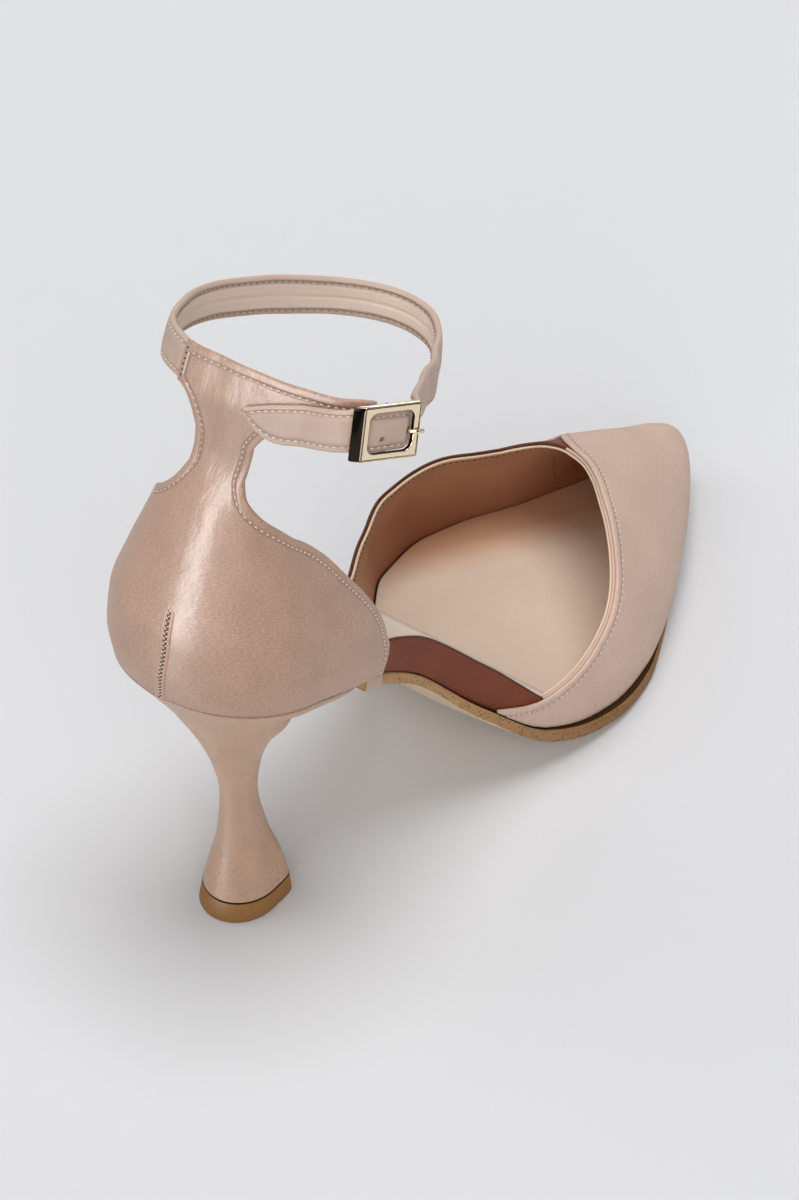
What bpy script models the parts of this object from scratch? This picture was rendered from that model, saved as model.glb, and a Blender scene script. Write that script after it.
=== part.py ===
"""Ankle-strap pump, right shoe.

A pointed, asymmetric d'Orsay pump on a covered flared heel, closed by an ankle strap with a
rectangular buckle. Run with blender --background --python part.py, or from the text editor.

Axes: +X toward the toe, +Y toward the medial side, +Z up, with the ground at Z = 0. The origin is
the centre of the top lift's bottom face. Tables and sizes are in millimetres; x is measured from the
back of the heel seat, and a run is the distance round the edge of the sole from the back seam.
"""
import math

import bmesh
import bpy
import numpy as np
from mathutils import Vector

MM = 0.001
LATERAL = -1
MEDIAL = 1
COLLECTION = "ankle_strap_pump"
CUTTERS = "cutters"

# Driving sizes
SHOE_LENGTH = 236.4
HEEL_RADIUS = 26.0
TIP_Y = 1.3
GAP = 0.3
OVERLAY_THICKNESS = 0.9
LINING_THICKNESS = 1.1
INSOLE_THICKNESS = 2.0
STRAP_WIDTH = 9.3
STRAP_THICKNESS = 1.6

# Heel tip, a D with its straight side toward the toe
TIP_BACK = 26.2
TIP_FRONT = 47.6
TIP_WIDTH = 19.4
TIP_MIDDLE = 37.9
LIFT_HEIGHT = 5.6
HEEL_BREAST = 47.8
ORIGIN_X = (TIP_BACK + TIP_FRONT) / 2

# Edge of the sole seen from the side: x, height
SOLE_LINE = (
    (0, 92.8), (20, 88.0), (45, 79.0), (70, 63.0), (98, 33.5), (120, 13.8),
    (138, 7.2), (158, 4.9), (182, 4.4), (208, 5.2), (238, 8.5),
)

# Edge of the sole seen from above, forward of the round of the heel: x, lateral, medial
SOLE_PLAN = (
    (26, 26.0, 25.8), (40, 27.0, 25.5), (60, 24.8, 20.5), (80, 25.3, 15.5), (98, 28.8, 15.0),
    (116, 33.4, 20.3), (132, 36.8, 30.0), (147, 38.2, 37.4), (162, 36.6, 38.8),
    (177, 32.4, 35.0), (196, 24.4, 25.2), (212, 16.4, 17.6), (224, 9.4, 12.0),
    (231, 4.7, 8.0), (235, 1.4, 4.8), (SHOE_LENGTH, -TIP_Y, TIP_Y),
)

# Top of the last, over the edge of the sole: x, height, y, power of the section
RIDGE = (
    (90, 84, -2, 2.3), (120, 72, 0, 2.3), (150, 54, 3, 2.25), (165, 46.5, 3.5, 2.2),
    (180, 39.5, 3.5, 2.2), (190, 34.8, 3.3, 2.2), (200, 30, 3, 2.2), (210, 24.8, 2.6, 2.2),
    (218, 20, 2.3, 2.2), (226, 15.6, 2.0, 2.2), (232, 11.0, 1.8, 2.2), (SHOE_LENGTH, 0, TIP_Y, 2.2),
)

# How far the wall swells out over the edge of the sole: x, lateral, medial
SWELL = (
    (60, 1.5, 3.4), (80, 1.5, 6.6), (100, 1.6, 7.3), (120, 1.6, 5.9), (138, 1.4, 3.4),
    (150, 1.3, 3.0), (165, 1.2, 3.2), (178, 1.2, 2.4), (200, 1.2, 1.3), (228, 0.8, 0.8),
    (SHOE_LENGTH, 0, 0),
)
SWELL_HEIGHT = 46.0
SWELL_REACH = 0.9
SWELL_SKEW = 0.85

# How far the heel wall draws in over the edge of the sole: height, at the back, at the sides
HEEL_DRAW = (
    (0, 0, 0), (9, -1.6, -1.6), (18, -1.0, -1.2), (28, 3.0, 1.5), (42, 9.2, 6.3),
    (58, 17.0, 11.5), (70, 21.5, 15.0), (90, 23.0, 16.0),
)
HEEL_WALL_END = 40.0
LAST_WALL_START = 85.0

# Ankle ring about its middle: turn from the back toward lateral, reach, height of its top edge
RING_MIDDLE = (55.0, -5.0)
RING_ROWS = (
    (-180, 33.9, 157.4), (-160, 32.8, 157.9), (-137, 30.9, 160.0), (-113, 30.4, 163.3),
    (-90, 32.1, 166.8), (-65, 34.2, 171.5), (-45, 36.5, 175.4), (-28, 35.9, 177.9),
    (-10, 33.2, 178.6), (6, 32.4, 178.5), (23, 33.4, 178.3), (43, 37.2, 178.7),
    (55, 37.8, 177.4), (66, 35.4, 175.3), (80, 29.8, 171.7), (105, 24.7, 166.2),
    (130, 25.0, 161.7), (150, 28.9, 159.2), (168, 32.9, 157.9), (180, 33.9, 157.4),
)
# Lean of the band that runs round the ring, and how much less it measures round at its top edge
BAND_LEAN = (0.26, 0.048, 0.965)
BAND_TAPER = 0.1

# Heights above the edge of the sole at the back of the shoe
TAB_ROOT = 57.0
WING_ROOT = 66.0
BAND_TOP = 178.5 - SOLE_LINE[0][1]
BAND_BOTTOM = BAND_TOP - STRAP_WIDTH
RING_BLEND = (48.0, WING_ROOT)
TAB_RUN = 16.5
TAB_SCALE = 0.45
TAB_SHIFT = 1.7

# Top edge of the upper on each side, from the tab forward: run, height, lean of the rib
LATERAL_TOPLINE = (
    (TAB_RUN, TAB_ROOT, 0), (20, 53.8, 0), (27, 51.2, 0), (36, 48.4, 0), (43.5, 44.7, 0),
    (49.6, 39.7, 0), (55.4, 33, 0), (62.8, 25, 0), (68.1, 17, 0), (71, 10.6, 0),
    (80, 11.2, 1.5), (89, 11.9, 4), (109, 12.9, 9), (124, 11.4, 13), (132, 9.2, 15),
)
MEDIAL_TOPLINE = (
    (TAB_RUN, TAB_ROOT, 0), (20, 52.0, 0), (27, 48.0, 0), (36, 45.0, 0), (43.5, 41.5, 0),
    (50, 35.0, 0), (57, 27.0, 0), (64, 19.5, 0), (71, 13.5, 0), (85, 11.4, 0), (100, 11.0, 0),
    (112, 11.4, 0), (122, 13.2, 0), (132, 16.6, 0), (140, 20.4, 0), (148, 24.4, 0),
    (156, 27.6, 1), (165, 29.4, 4), (174, 29.8, 6), (184, 29.6, 9), (198, 28.6, 12),
)
COUNTER_END = 71.0

# Throat of the vamp: turn over the last from the lateral edge, x
THROAT = (
    (8.6, 123.5), (16, 134), (25.8, 144.5), (34, 151.6), (43, 158.4), (54, 166.3), (63, 172.4),
    (75, 180.2), (85, 184.7), (100, 187.4), (116, 187.4), (126, 186),
)
# How far forward of the throat line the vamp's own edge lies on its medial part: turn, share
VAMP_SETBACK = (
    (0, 0), (85, 0), (96, 0.015), (108, 0.07), (120, 0.135), (132, 0.17), (150, 0.19), (180, 0.2),
)

# Cells of the shells: up a wall, over the throat, forward to the toe, across the tab
WALL_CELLS = 7
THROAT_CELLS = 15
TOE_CELLS = 13
TAB_CELLS = 4
NECK_CELLS = 2
BAND_CELLS = 3
TOE_CROWDING = 1.7
TOE_EVENING = (0, 0.6)

# Outsole: x, height of its underside, edge thickness, flat share of its width, overhang
SOLE_ROWS = (
    (48.4, 74.0, 3.0, 0.0, -1.2), (60, 66.5, 3.2, 0.0, -1.0), (80, 48.5, 3.4, 0.0, -0.4),
    (98, 27.5, 3.6, 0.1, 0.4), (112, 14.2, 3.8, 0.3, 1.0), (124, 6.0, 4.0, 0.5, 1.5),
    (138, 1.6, 4.0, 0.65, 1.9), (150, 0.0, 4.0, 0.7, 2.0), (160, 0.0, 4.0, 0.7, 1.8),
    (170, 0.0, 4.0, 0.7, 0.9), (180, 0.0, 4.0, 0.7, 0.0), (192, 0.0, 3.8, 0.7, -0.6),
    (205, 0.5, 3.6, 0.7, -0.8), (214, 1.3, 3.4, 0.65, -1.0), (230, 3.5, 3.0, 0.5, -1.4),
    (SHOE_LENGTH, 5.2, 2.4, 0.3, -1.5),
)

# Heel block: level, back, middle, front, half width, power of the front
HEEL_ROWS = (
    (5.9, 27.2, 38.2, 47.0, 9.2, 6.0), (13, 28.0, 38.0, 45.6, 7.8, 5.0),
    (24, 29.1, 36.8, 42.8, 5.9, 3.6), (38, 29.7, 34.8, 38.6, 4.4, 2.4),
    (50, 26.2, 33.8, 38.6, 5.7, 2.3), (60, 21.3, 32.0, 39.8, 9.0, 2.8),
    (70, 14.2, 29.4, 44.6, 14.4, 2.5), (79, 6.2, 27.0, 44.6, 15.0, 2.5),
)

# Where the ankle strap runs, along the ring from the back toward lateral
MEDIAL_WING = 11.5
LATERAL_WING = 36.5
WING_FILLET = 12.0
FILLET_POWER = 2.2
TAIL_END = 7.2
TAIL_SLANT = 12.0
TAIL_POWER = 2.2
TAIL_POINT = 0.9
# Run, lift of its inner face over the ring, drop of its top edge
STRAP_ROWS = (
    (TAIL_END, 0.4, 8.0), (15, 0.4, 4.2), (22, 0.4, 2.6), (31, 0.4, 1.3), (40, 0.4, 0.9),
    (49, 0.3, 0.5), (60, 0.0, 0.2), (90, -1.0, 0), (150, -1.7, 0), (205, -1.8, 0),
)

# Buckle
BUCKLE_RUN = 36.5
BUCKLE_UP = (0.2, 0.08, 0.977)
BUCKLE_TURN = math.radians(24.0)
BUCKLE_LENGTH = 15.8
BUCKLE_HEIGHT = 13.3
BUCKLE_BAR = 1.7
BUCKLE_DEPTH = 2.6
BUCKLE_CORNER = 0.9
BUCKLE_LEVEL = 2.6
BUCKLE_DROP = 5.0
CENTRE_BAR_RADIUS = 0.7
CENTRE_BAR_LEVEL = 1.15
PRONG_RADIUS = 0.6
# The prong from its bar, up through the strap and over the frame: along the buckle, level
PRONG_LINE = (
    (1.6, 0.6), (3.0, 0.5), (3.9, 0.7), (4.4, 1.4), (4.45, 2.6), (4.6, 4.0), (5.2, 5.7), (6.2, 6.3),
    (8.3, 6.2),
)
HOLE_ALONG = 4.45
HOLE_RADIUS = 1.15
# The strap in the buckle: level under the outer bars, rise over the centre bar, straight length
STRAP_LEVEL = 0.55
STRAP_RISE = 1.65
STRAP_RAMP = (0.6, 6.0)
STRAIGHT = (8.5, 19.0)


def smooth_curve(xs, ys, x):
    """Cubic through the points that never overshoots them."""
    xs = np.asarray(xs, float)
    ys = np.asarray(ys, float)
    step = np.diff(xs)
    rise = np.diff(ys) / step
    slope = np.zeros(len(xs))
    slope[0] = rise[0]
    slope[-1] = rise[-1]
    for i in range(1, len(xs) - 1):
        if rise[i - 1] * rise[i] > 0:
            before = 2 * step[i] + step[i - 1]
            after = step[i] + 2 * step[i - 1]
            slope[i] = (before + after) / (before / rise[i - 1] + after / rise[i])
    i = np.clip(np.searchsorted(xs, x) - 1, 0, len(xs) - 2)
    t = np.clip((x - xs[i]) / step[i], 0, 1)
    return ((2 * t**3 - 3 * t**2 + 1) * ys[i] + (t**3 - 2 * t**2 + t) * step[i] * slope[i]
            + (3 * t**2 - 2 * t**3) * ys[i + 1] + (t**3 - t**2) * step[i] * slope[i + 1])


def read(table, column, x):
    """One column of a table, read at x from its first column."""
    rows = np.asarray(table, float)
    return smooth_curve(rows[:, 0], rows[:, column], x)


def ease(start, end, x):
    t = np.clip((x - start) / (end - start), 0, 1)
    return t * t * (3 - 2 * t)


def sole_height(x):
    return float(read(SOLE_LINE, 1, x))


def half_width(side, x):
    """Half width of the sole's edge; its rounding at the toe follows the root of the distance."""
    rows = np.asarray(SOLE_PLAN, float)[::-1]
    root = np.sqrt(SHOE_LENGTH - rows[:, 0])
    column = 1 if side == LATERAL else 2
    return float(smooth_curve(root, rows[:, column], math.sqrt(max(SHOE_LENGTH - x, 0))))


def ridge(x):
    rows = np.asarray(RIDGE, float)[::-1]
    root = np.sqrt(SHOE_LENGTH - rows[:, 0])
    at = math.sqrt(max(SHOE_LENGTH - max(x, RIDGE[0][0]), 0))
    return [float(smooth_curve(root, rows[:, c], at)) for c in (1, 2, 3)]


def swell(side, x, height):
    most = float(read(SWELL, 1 if side == LATERAL else 2, x))
    reach = max(min(SWELL_HEIGHT, SWELL_REACH * ridge(x)[0]), GAP)
    return most * math.sin(math.pi * min(max(height / reach, 0), 1) ** SWELL_SKEW)


def ring_line():
    """Closed line of the ankle ring's top edge, with the run along it from the back."""
    turns = np.arange(-180, 181, 1.5)
    rows = np.asarray(RING_ROWS, float)
    full_turn = (360, 0, 0)
    rows = np.vstack((rows[-4:-1] - full_turn, rows, rows[1:4] + full_turn))
    reach = smooth_curve(rows[:, 0], rows[:, 1], turns)
    top = smooth_curve(rows[:, 0], rows[:, 2], turns)
    x = RING_MIDDLE[0] - reach * np.cos(np.radians(turns))
    y = RING_MIDDLE[1] - reach * np.sin(np.radians(turns))
    run = np.concatenate(((0,), np.cumsum(np.hypot(np.diff(x), np.diff(y)))))
    near_back = np.abs(turns) < 60
    start = np.interp(0, -y[near_back], run[near_back])
    return x, y, top, run - start


RING_X, RING_Y, RING_TOP, RING_RUN = ring_line()
RING_LENGTH = RING_RUN[-1] - RING_RUN[0]


def ring_point(run):
    """Point of the ring's top edge, at a run that grows from the back toward lateral."""
    run = (run - RING_RUN[0]) % RING_LENGTH + RING_RUN[0]
    return np.array([float(np.interp(run, RING_RUN, line)) for line in (RING_X, RING_Y, RING_TOP)])


def unit(vector):
    return vector / np.linalg.norm(vector)


def ring_frame(run):
    """Directions of the band at a run of the ring: outward, and up its own face."""
    along = unit(ring_point(run + 2) - ring_point(run - 2))
    level = unit(np.cross(along, BAND_LEAN))
    up = unit(np.cross(level, along) - level * BAND_TAPER)
    return unit(np.cross(along, up)), up


def band_point(run, height):
    """Point of the wings and the tab's top; height counts as at the back of the shoe."""
    up = ring_frame(run)[1]
    below = max(BAND_BOTTOM - height, 0)
    return ring_point(run) + up * (height + below - BAND_TOP) - (0, 0, below)


def foot_point(side, run):
    """Point of the sole's edge at a run from the back, with its outward direction."""
    quarter = HEEL_RADIUS * math.pi / 2
    if run >= quarter:
        x = HEEL_RADIUS + run - quarter
        return np.array((x, side * half_width(side, x))), np.array((0.0, side))
    angle = run / HEEL_RADIUS
    wide = HEEL_RADIUS + (half_width(side, HEEL_RADIUS) - HEEL_RADIUS) * run / quarter
    point = np.array((HEEL_RADIUS * (1 - math.cos(angle)), side * wide * math.sin(angle)))
    return point, np.array((-math.cos(angle), side * math.sin(angle)))


def skin_point(side, run, height):
    """Outer face of the shoe at a run round the sole's edge and a height over it."""
    foot, out = foot_point(side, run)
    back = out[0] ** 2
    draw = float(read(HEEL_DRAW, 1, height)) * back + float(read(HEEL_DRAW, 2, height)) * (1 - back)
    share = float(ease(HEEL_WALL_END, LAST_WALL_START, foot[0]))
    if share > 0:
        top, middle, power = ridge(foot[0])
        width = half_width(side, foot[0]) - side * middle
        fall = 1 - (1 - min(height / max(top, GAP), 1) ** power) ** (1 / power)
        draw = draw * (1 - share) + share * (width * fall - swell(side, foot[0], height))
    point = foot - out * draw
    result = np.array((point[0], point[1], sole_height(foot[0]) + height))
    blend = float(ease(*RING_BLEND, height))
    if blend > 0:
        result = result * (1 - blend) + blend * band_point(TAB_SHIFT - side * run * TAB_SCALE, height)
    return result


def section_point(x, turn):
    """Point of the last's section at x; turn runs from the lateral edge over to the medial."""
    top, middle, power = ridge(x)
    side = LATERAL if turn < 90 else MEDIAL
    angle = math.radians(turn)
    across = abs(math.cos(angle)) ** (2 / power)
    height = top * max(math.sin(angle), 0) ** (2 / power)
    width = half_width(side, x) - side * middle
    y = middle + side * (width * across + swell(side, x, height))
    return np.array((x, y, sole_height(x) + height))


def turn_of(x, height):
    top, _, power = ridge(x)
    return math.degrees(math.asin(min(height / max(top, GAP), 1) ** (power / 2)))


def rib(side, row, share):
    """Point of a wall's rib from its foot (share 0) to its top edge (share 1)."""
    run, height, lean = row
    return skin_point(side, run - lean * (1 - share), height * share)


def wall_patch(side, topline, first, last):
    """Grid of one side wall between two runs, as columns from back to front."""
    rows = np.asarray(topline, float)
    marks = np.asarray(rows[:, 0])
    runs = [run for run in fine_runs(marks) if first <= run <= last]
    shares = np.linspace(0, 1, WALL_CELLS + 1)
    table = [(run, float(read(rows, 1, run)), float(read(rows, 2, run))) for run in runs]
    return [[rib(side, row, share) for share in shares] for row in table]


def fine_runs(marks):
    """The topline's own runs, with one more between any two that lie far apart."""
    runs = []
    for start, end in zip(marks, marks[1:]):
        parts = max(1, round((end - start) / 7.0))
        runs += list(np.linspace(start, end, parts, endpoint=False))
    return runs + [marks[-1]]


def throat_rows():
    """First column of the toe patch: the two junction ribs and the throat between them."""
    shares = np.linspace(0, 1, WALL_CELLS + 1)
    lateral = [(LATERAL, share) for share in shares]
    medial = [(MEDIAL, share) for share in shares[::-1]]
    rows = []
    for side, share in lateral + medial:
        run, height, lean = (LATERAL_TOPLINE if side == LATERAL else MEDIAL_TOPLINE)[-1]
        x = HEEL_RADIUS + run - lean * (1 - share) - HEEL_RADIUS * math.pi / 2
        turn = turn_of(x, height * share)
        rows.append((x, turn if side == LATERAL else 180 - turn))
    start = rows[WALL_CELLS]
    end = rows[WALL_CELLS + 1]
    table = [(start[1], start[0]), *THROAT, (end[1], end[0])]
    turns = np.linspace(start[1], end[1], 200)
    line = np.array([section_point(float(read(table, 1, t)), t) for t in turns])
    length = np.concatenate(((0,), np.cumsum(np.linalg.norm(np.diff(line, axis=0), axis=1))))
    inner = np.interp(np.linspace(0, length[-1], THROAT_CELLS + 1)[1:-1], length, turns)
    throat = [(float(read(table, 1, t)), float(t)) for t in inner]
    return rows[:WALL_CELLS + 1] + throat + rows[WALL_CELLS + 1:]


def toe_patch(setback):
    """Grid from the throat to the tip of the toe, as columns; setback moves its first column."""
    starts = throat_rows()
    grid = []
    for step in range(TOE_CELLS + 1):
        column = []
        for j, (x, turn) in enumerate(starts):
            share = step / TOE_CELLS
            if step == 0 and setback:
                share = float(read(VAMP_SETBACK, 1, turn))
            forward = 1 - (1 - share) ** TOE_CROWDING
            even = 180 * j / (len(starts) - 1)
            at = turn + (even - turn) * float(ease(*TOE_EVENING, share))
            column.append(section_point(x + (SHOE_LENGTH - x) * forward, at))
        grid.append(column)
    return grid


def back_patch():
    """Grid of the heel's back, the neck of the tab and the band over it, medial to lateral."""
    heights = list(np.linspace(0, TAB_ROOT, WALL_CELLS + 1))
    heights += list(np.linspace(TAB_ROOT, WING_ROOT, NECK_CELLS + 1))[1:]
    heights += list(np.linspace(WING_ROOT, BAND_TOP, BAND_CELLS + 1))[1:]
    grid = []
    for run in np.linspace(-TAB_RUN, TAB_RUN, TAB_CELLS * 2 + 1):
        side = LATERAL if run > 0 else MEDIAL
        grid.append([skin_point(side, abs(run), height) for height in heights])
    return grid


def wing_patch(side, end):
    """Grid of one wing, from the tab's edge to its end, with the fillet under it."""
    root = TAB_RUN * TAB_SCALE - side * TAB_SHIFT
    columns = max(3, round((end - root) / 4.5))
    fillet = min(WING_FILLET, end - root)
    grid = []
    for run in np.linspace(root, end, columns + 1):
        fall = max(0, 1 - (run - root) / fillet)
        low = BAND_BOTTOM - (BAND_BOTTOM - WING_ROOT) * fall**FILLET_POWER
        heights = np.linspace(low, BAND_TOP, BAND_CELLS + 1)
        grid.append([band_point(-side * run, height) for height in heights])
    return grid


def counter_patches():
    """The heel piece: both walls back to the tab, the tab and both wings, medial to lateral."""
    return [
        wall_patch(MEDIAL, MEDIAL_TOPLINE, TAB_RUN, COUNTER_END)[::-1],
        wall_patch(LATERAL, LATERAL_TOPLINE, TAB_RUN, COUNTER_END),
        back_patch(),
        wing_patch(MEDIAL, MEDIAL_WING)[::-1],
        wing_patch(LATERAL, LATERAL_WING),
    ]


def upper_patches():
    """The whole upper: the heel piece's patches, both walls to the vamp, and the toe."""
    return counter_patches() + [
        wall_patch(MEDIAL, MEDIAL_TOPLINE, COUNTER_END, MEDIAL_TOPLINE[-1][0])[::-1],
        wall_patch(LATERAL, LATERAL_TOPLINE, COUNTER_END, LATERAL_TOPLINE[-1][0]),
        toe_patch(setback=False),
    ]


class Sheet:
    """Patches welded into one open surface of triangles, split the same way in every shell."""

    def __init__(self, patches):
        self.points = []
        self.faces = []
        self.index = {}
        for grid in patches:
            for left, right in zip(grid, grid[1:]):
                for i in range(len(left) - 1):
                    self.add((left[i], right[i], right[i + 1], left[i + 1]))
        self.points = np.array(self.points)

    def add(self, corners):
        face = []
        for corner in corners:
            key = tuple(np.round(corner, 3))
            if key not in self.index:
                self.index[key] = len(self.points)
                self.points.append(np.asarray(corner))
            if self.index[key] not in face:
                face.append(self.index[key])
        if len(face) == 4:
            a, b, c, d = (self.points[vertex] for vertex in face)
            if np.linalg.norm(a - c) <= np.linalg.norm(b - d):
                self.faces += [face[:3], [face[0], face[2], face[3]]]
            else:
                self.faces += [[face[0], face[1], face[3]], face[1:]]
        elif len(face) == 3:
            self.faces.append(face)

    def normals(self):
        total = np.zeros_like(self.points)
        for face in self.faces:
            corners = self.points[face]
            for i, vertex in enumerate(face):
                ahead = corners[(i + 1) % len(face)] - corners[i]
                behind = corners[i - 1] - corners[i]
                cross = np.cross(ahead, behind)
                size = np.linalg.norm(cross)
                if size > 1e-9:
                    angle = math.atan2(size, float(ahead @ behind))
                    total[vertex] += cross / size * angle
        return total / np.maximum(np.linalg.norm(total, axis=1), 1e-9)[:, None]

    def layer(self, depth):
        """The surface moved inward by depth, with its foot kept just above the sole."""
        moved = self.points - self.normals() * depth
        for i, point in enumerate(self.points):
            if abs(point[2] - sole_height(point[0])) < 1e-4:
                moved[i][2] = sole_height(moved[i][0]) + GAP / 2
        return moved

    def rim(self):
        """Directed edges that only one face uses."""
        edges = {(a, b) for face in self.faces for a, b in zip(face, face[1:] + face[:1])}
        return [edge for edge in edges if (edge[1], edge[0]) not in edges]


def shell(name, patches, depth, thickness, material):
    """Closed shell between two layers of a sheet."""
    sheet = Sheet(patches)
    count = len(sheet.points)
    points = np.vstack((sheet.layer(depth), sheet.layer(depth + thickness)))
    faces = [list(face) for face in sheet.faces]
    faces += [[vertex + count for vertex in reversed(face)] for face in sheet.faces]
    faces += [[b, a, a + count, b + count] for a, b in sorted(sheet.rim())]
    return add_mesh(name, points, faces, material)


def offset_plan(side, distance):
    """Edge of the sole moved outward by a distance that may vary along it, as x and y lines."""
    quarter = HEEL_RADIUS * math.pi / 2
    runs = list(np.linspace(0, quarter, 24, endpoint=False))
    reach = math.sqrt(SHOE_LENGTH - HEEL_RADIUS)
    runs += [quarter + SHOE_LENGTH - root**2 - HEEL_RADIUS for root in np.linspace(reach, 0, 90)]
    feet = np.array([foot_point(side, run)[0] for run in runs])
    along = np.gradient(feet, axis=0)
    along /= np.linalg.norm(along, axis=1)[:, None]
    out = np.column_stack((-side * along[:, 1], side * along[:, 0]))
    out[0] = (-1, 0)
    out[-1] = (1, 0)
    moved = feet + out * np.array([distance(x) for x in feet[:, 0]])[:, None]
    order = np.argsort(moved[:, 0])
    return moved[order]


def crowded(start, end, count, crowd_start, crowd_end):
    """Stations between two x values, closer together at the ends that are asked for."""
    t = np.linspace(0, 1, count)
    if crowd_start:
        t = 1 - np.cos(t * math.pi / 2)
    if crowd_end:
        t = np.sin(t * math.pi / 2)
    return start + (end - start) * t


def plate(name, stations, lateral, medial, across, top, under, material):
    """Closed plate of cross-sections; top and under give heights at x and a share across."""
    shares = np.linspace(-1, 1, across + 1)
    points = []
    for x in stations:
        low = np.interp(x, lateral[:, 0], lateral[:, 1])
        high = np.interp(x, medial[:, 0], medial[:, 1])
        middle = (low + high) / 2
        half = (high - low) / 2
        ring = [(x, middle + half * s, top(x)) for s in shares]
        ring += [(x, middle + half * s, under(x, s)) for s in shares[::-1]]
        points.append(ring)
    return add_loft(name, points, material)


def add_loft(name, rings, material, top=None):
    """Closed solid through rings of equal count, capped by fans or by rings given in top."""
    size = len(rings[0])
    points = [point for ring in rings for point in ring]
    faces = []
    for k in range(len(rings) - 1):
        for i in range(size):
            j = (i + 1) % size
            faces.append([k * size + i, k * size + j, (k + 1) * size + j, (k + 1) * size + i])
    faces.append(list(range(size))[::-1])
    last = (len(rings) - 1) * size
    if top is None:
        faces.append(list(range(last, last + size)))
    else:
        points.append(top)
        faces += [[last + i, last + (i + 1) % size, len(points) - 1] for i in range(size)]
    return add_mesh(name, points, faces, material)


def place(point):
    return Vector(((point[0] - ORIGIN_X) * MM, point[1] * MM, point[2] * MM))


def add_mesh(name, points, faces, material):
    mesh = bpy.data.meshes.new(name)
    mesh.from_pydata([place(point) for point in points], [], faces)
    work = bmesh.new()
    work.from_mesh(mesh)
    bmesh.ops.remove_doubles(work, verts=work.verts, dist=1e-6)
    bmesh.ops.dissolve_degenerate(work, edges=work.edges, dist=1e-6)
    bmesh.ops.recalc_face_normals(work, faces=work.faces)
    work.to_mesh(mesh)
    work.free()
    mesh.shade_smooth()
    mesh.set_sharp_from_angle(angle=math.radians(40))
    item = bpy.data.objects.new(name, mesh)
    bpy.data.collections[COLLECTION].objects.link(item)
    mesh.materials.append(material)
    return item


def add_material(name, color, roughness, metallic=0.0):
    material = bpy.data.materials.new(name)
    material.use_nodes = True
    shader = material.node_tree.nodes["Principled BSDF"]
    shader.inputs["Base Color"].default_value = (*color, 1)
    shader.inputs["Roughness"].default_value = roughness
    shader.inputs["Metallic"].default_value = metallic
    return material


def add_upper(material):
    depth = OVERLAY_THICKNESS + GAP
    return shell("upper", upper_patches(), depth, LINING_THICKNESS, material)


def add_counter(material):
    return shell("counter", counter_patches(), 0, OVERLAY_THICKNESS, material)


def add_vamp(material):
    return shell("vamp", [toe_patch(setback=True)], 0, OVERLAY_THICKNESS, material)


def add_insole(material):
    inset = OVERLAY_THICKNESS + 2 * GAP + LINING_THICKNESS + 0.3
    lateral = offset_plan(LATERAL, lambda x: -inset)
    medial = offset_plan(MEDIAL, lambda x: -inset)
    stations = list(crowded(inset, 26, 7, True, False))
    stations += list(np.linspace(26, 210, 47)[1:])
    stations += list(crowded(210, SHOE_LENGTH - inset - 0.1, 7, False, True)[1:])
    return plate(
        "insole", stations, lateral, medial, 4,
        lambda x: sole_height(x) + GAP / 2 + INSOLE_THICKNESS,
        lambda x, share: sole_height(x) + GAP / 2,
        material,
    )


def sole_under(x, share):
    """Underside of the outsole: flat over its middle share and drawn up to its edges."""
    flat = float(read(SOLE_ROWS, 3, x))
    edge = sole_height(x) - GAP * 0.75 - float(read(SOLE_ROWS, 2, x))
    low = min(float(read(SOLE_ROWS, 1, x)), edge)
    rise = max(0, (abs(share) - flat) / (1 - flat)) ** 2
    return low + (edge - low) * rise


def sole_overhang(x):
    return float(read(SOLE_ROWS, 4, x))


def add_outsole(material):
    lateral = offset_plan(LATERAL, sole_overhang)
    medial = offset_plan(MEDIAL, sole_overhang)
    tip = SHOE_LENGTH + SOLE_ROWS[-1][4]
    stations = [SOLE_ROWS[0][0]] + list(np.linspace(50, 210, 41))
    stations += list(crowded(210, tip - 0.05, 8, False, True)[1:])
    return plate(
        "outsole", stations, lateral, medial, 10,
        lambda x: sole_height(x) - GAP * 0.75, sole_under, material,
    )


def heel_ring(row, level, top_share, tilt, count=32):
    """One ring of the heel: round at the back, squarer toward its breast."""
    back, middle, front, half, power = row
    ring = []
    for k in range(count):
        angle = 2 * math.pi * k / count
        cos = math.cos(angle)
        sin = math.sin(angle)
        n = power if cos > 0 else 2.0
        reach = (front - middle) if cos > 0 else (middle - back)
        x = middle + reach * math.copysign(abs(cos) ** (2 / n), cos)
        side = MEDIAL if sin > 0 else LATERAL
        wide = half + (half_width(side, max(x, HEEL_RADIUS)) - half) * top_share
        y = wide * math.copysign(abs(sin) ** (2 / n), sin)
        slope = sole_height(x) - sole_height(HEEL_RADIUS)
        ring.append((x, y, level + tilt * slope))
    return ring


def add_heel(material):
    seat = sole_height(HEEL_RADIUS) - GAP / 2
    rows = list(HEEL_ROWS) + [(seat, 0.0, HEEL_RADIUS, HEEL_BREAST, 26.0, 8.0)]
    levels = np.concatenate((np.linspace(rows[0][0], 50, 8), np.linspace(50, seat, 11)[1:]))
    rings = []
    for level in levels:
        row = [float(read(rows, column, level)) for column in range(1, 6)]
        tilt = float(ease(44, seat, level)) if level < seat else 1.0
        rings.append(heel_ring(row, level, float(ease(72, seat, level)), tilt))
    top = np.array(rings[-1])
    middle = np.array((24.0, 0.0, 0.0))
    for scale in (0.66, 0.33):
        ring = middle + (top - middle) * scale
        rings.append([(x, y, sole_height(x) - GAP / 2) for x, y, _ in ring])
    centre = (middle[0], 0, sole_height(middle[0]) - GAP / 2)
    return add_loft("heel", rings, material, centre)


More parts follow.
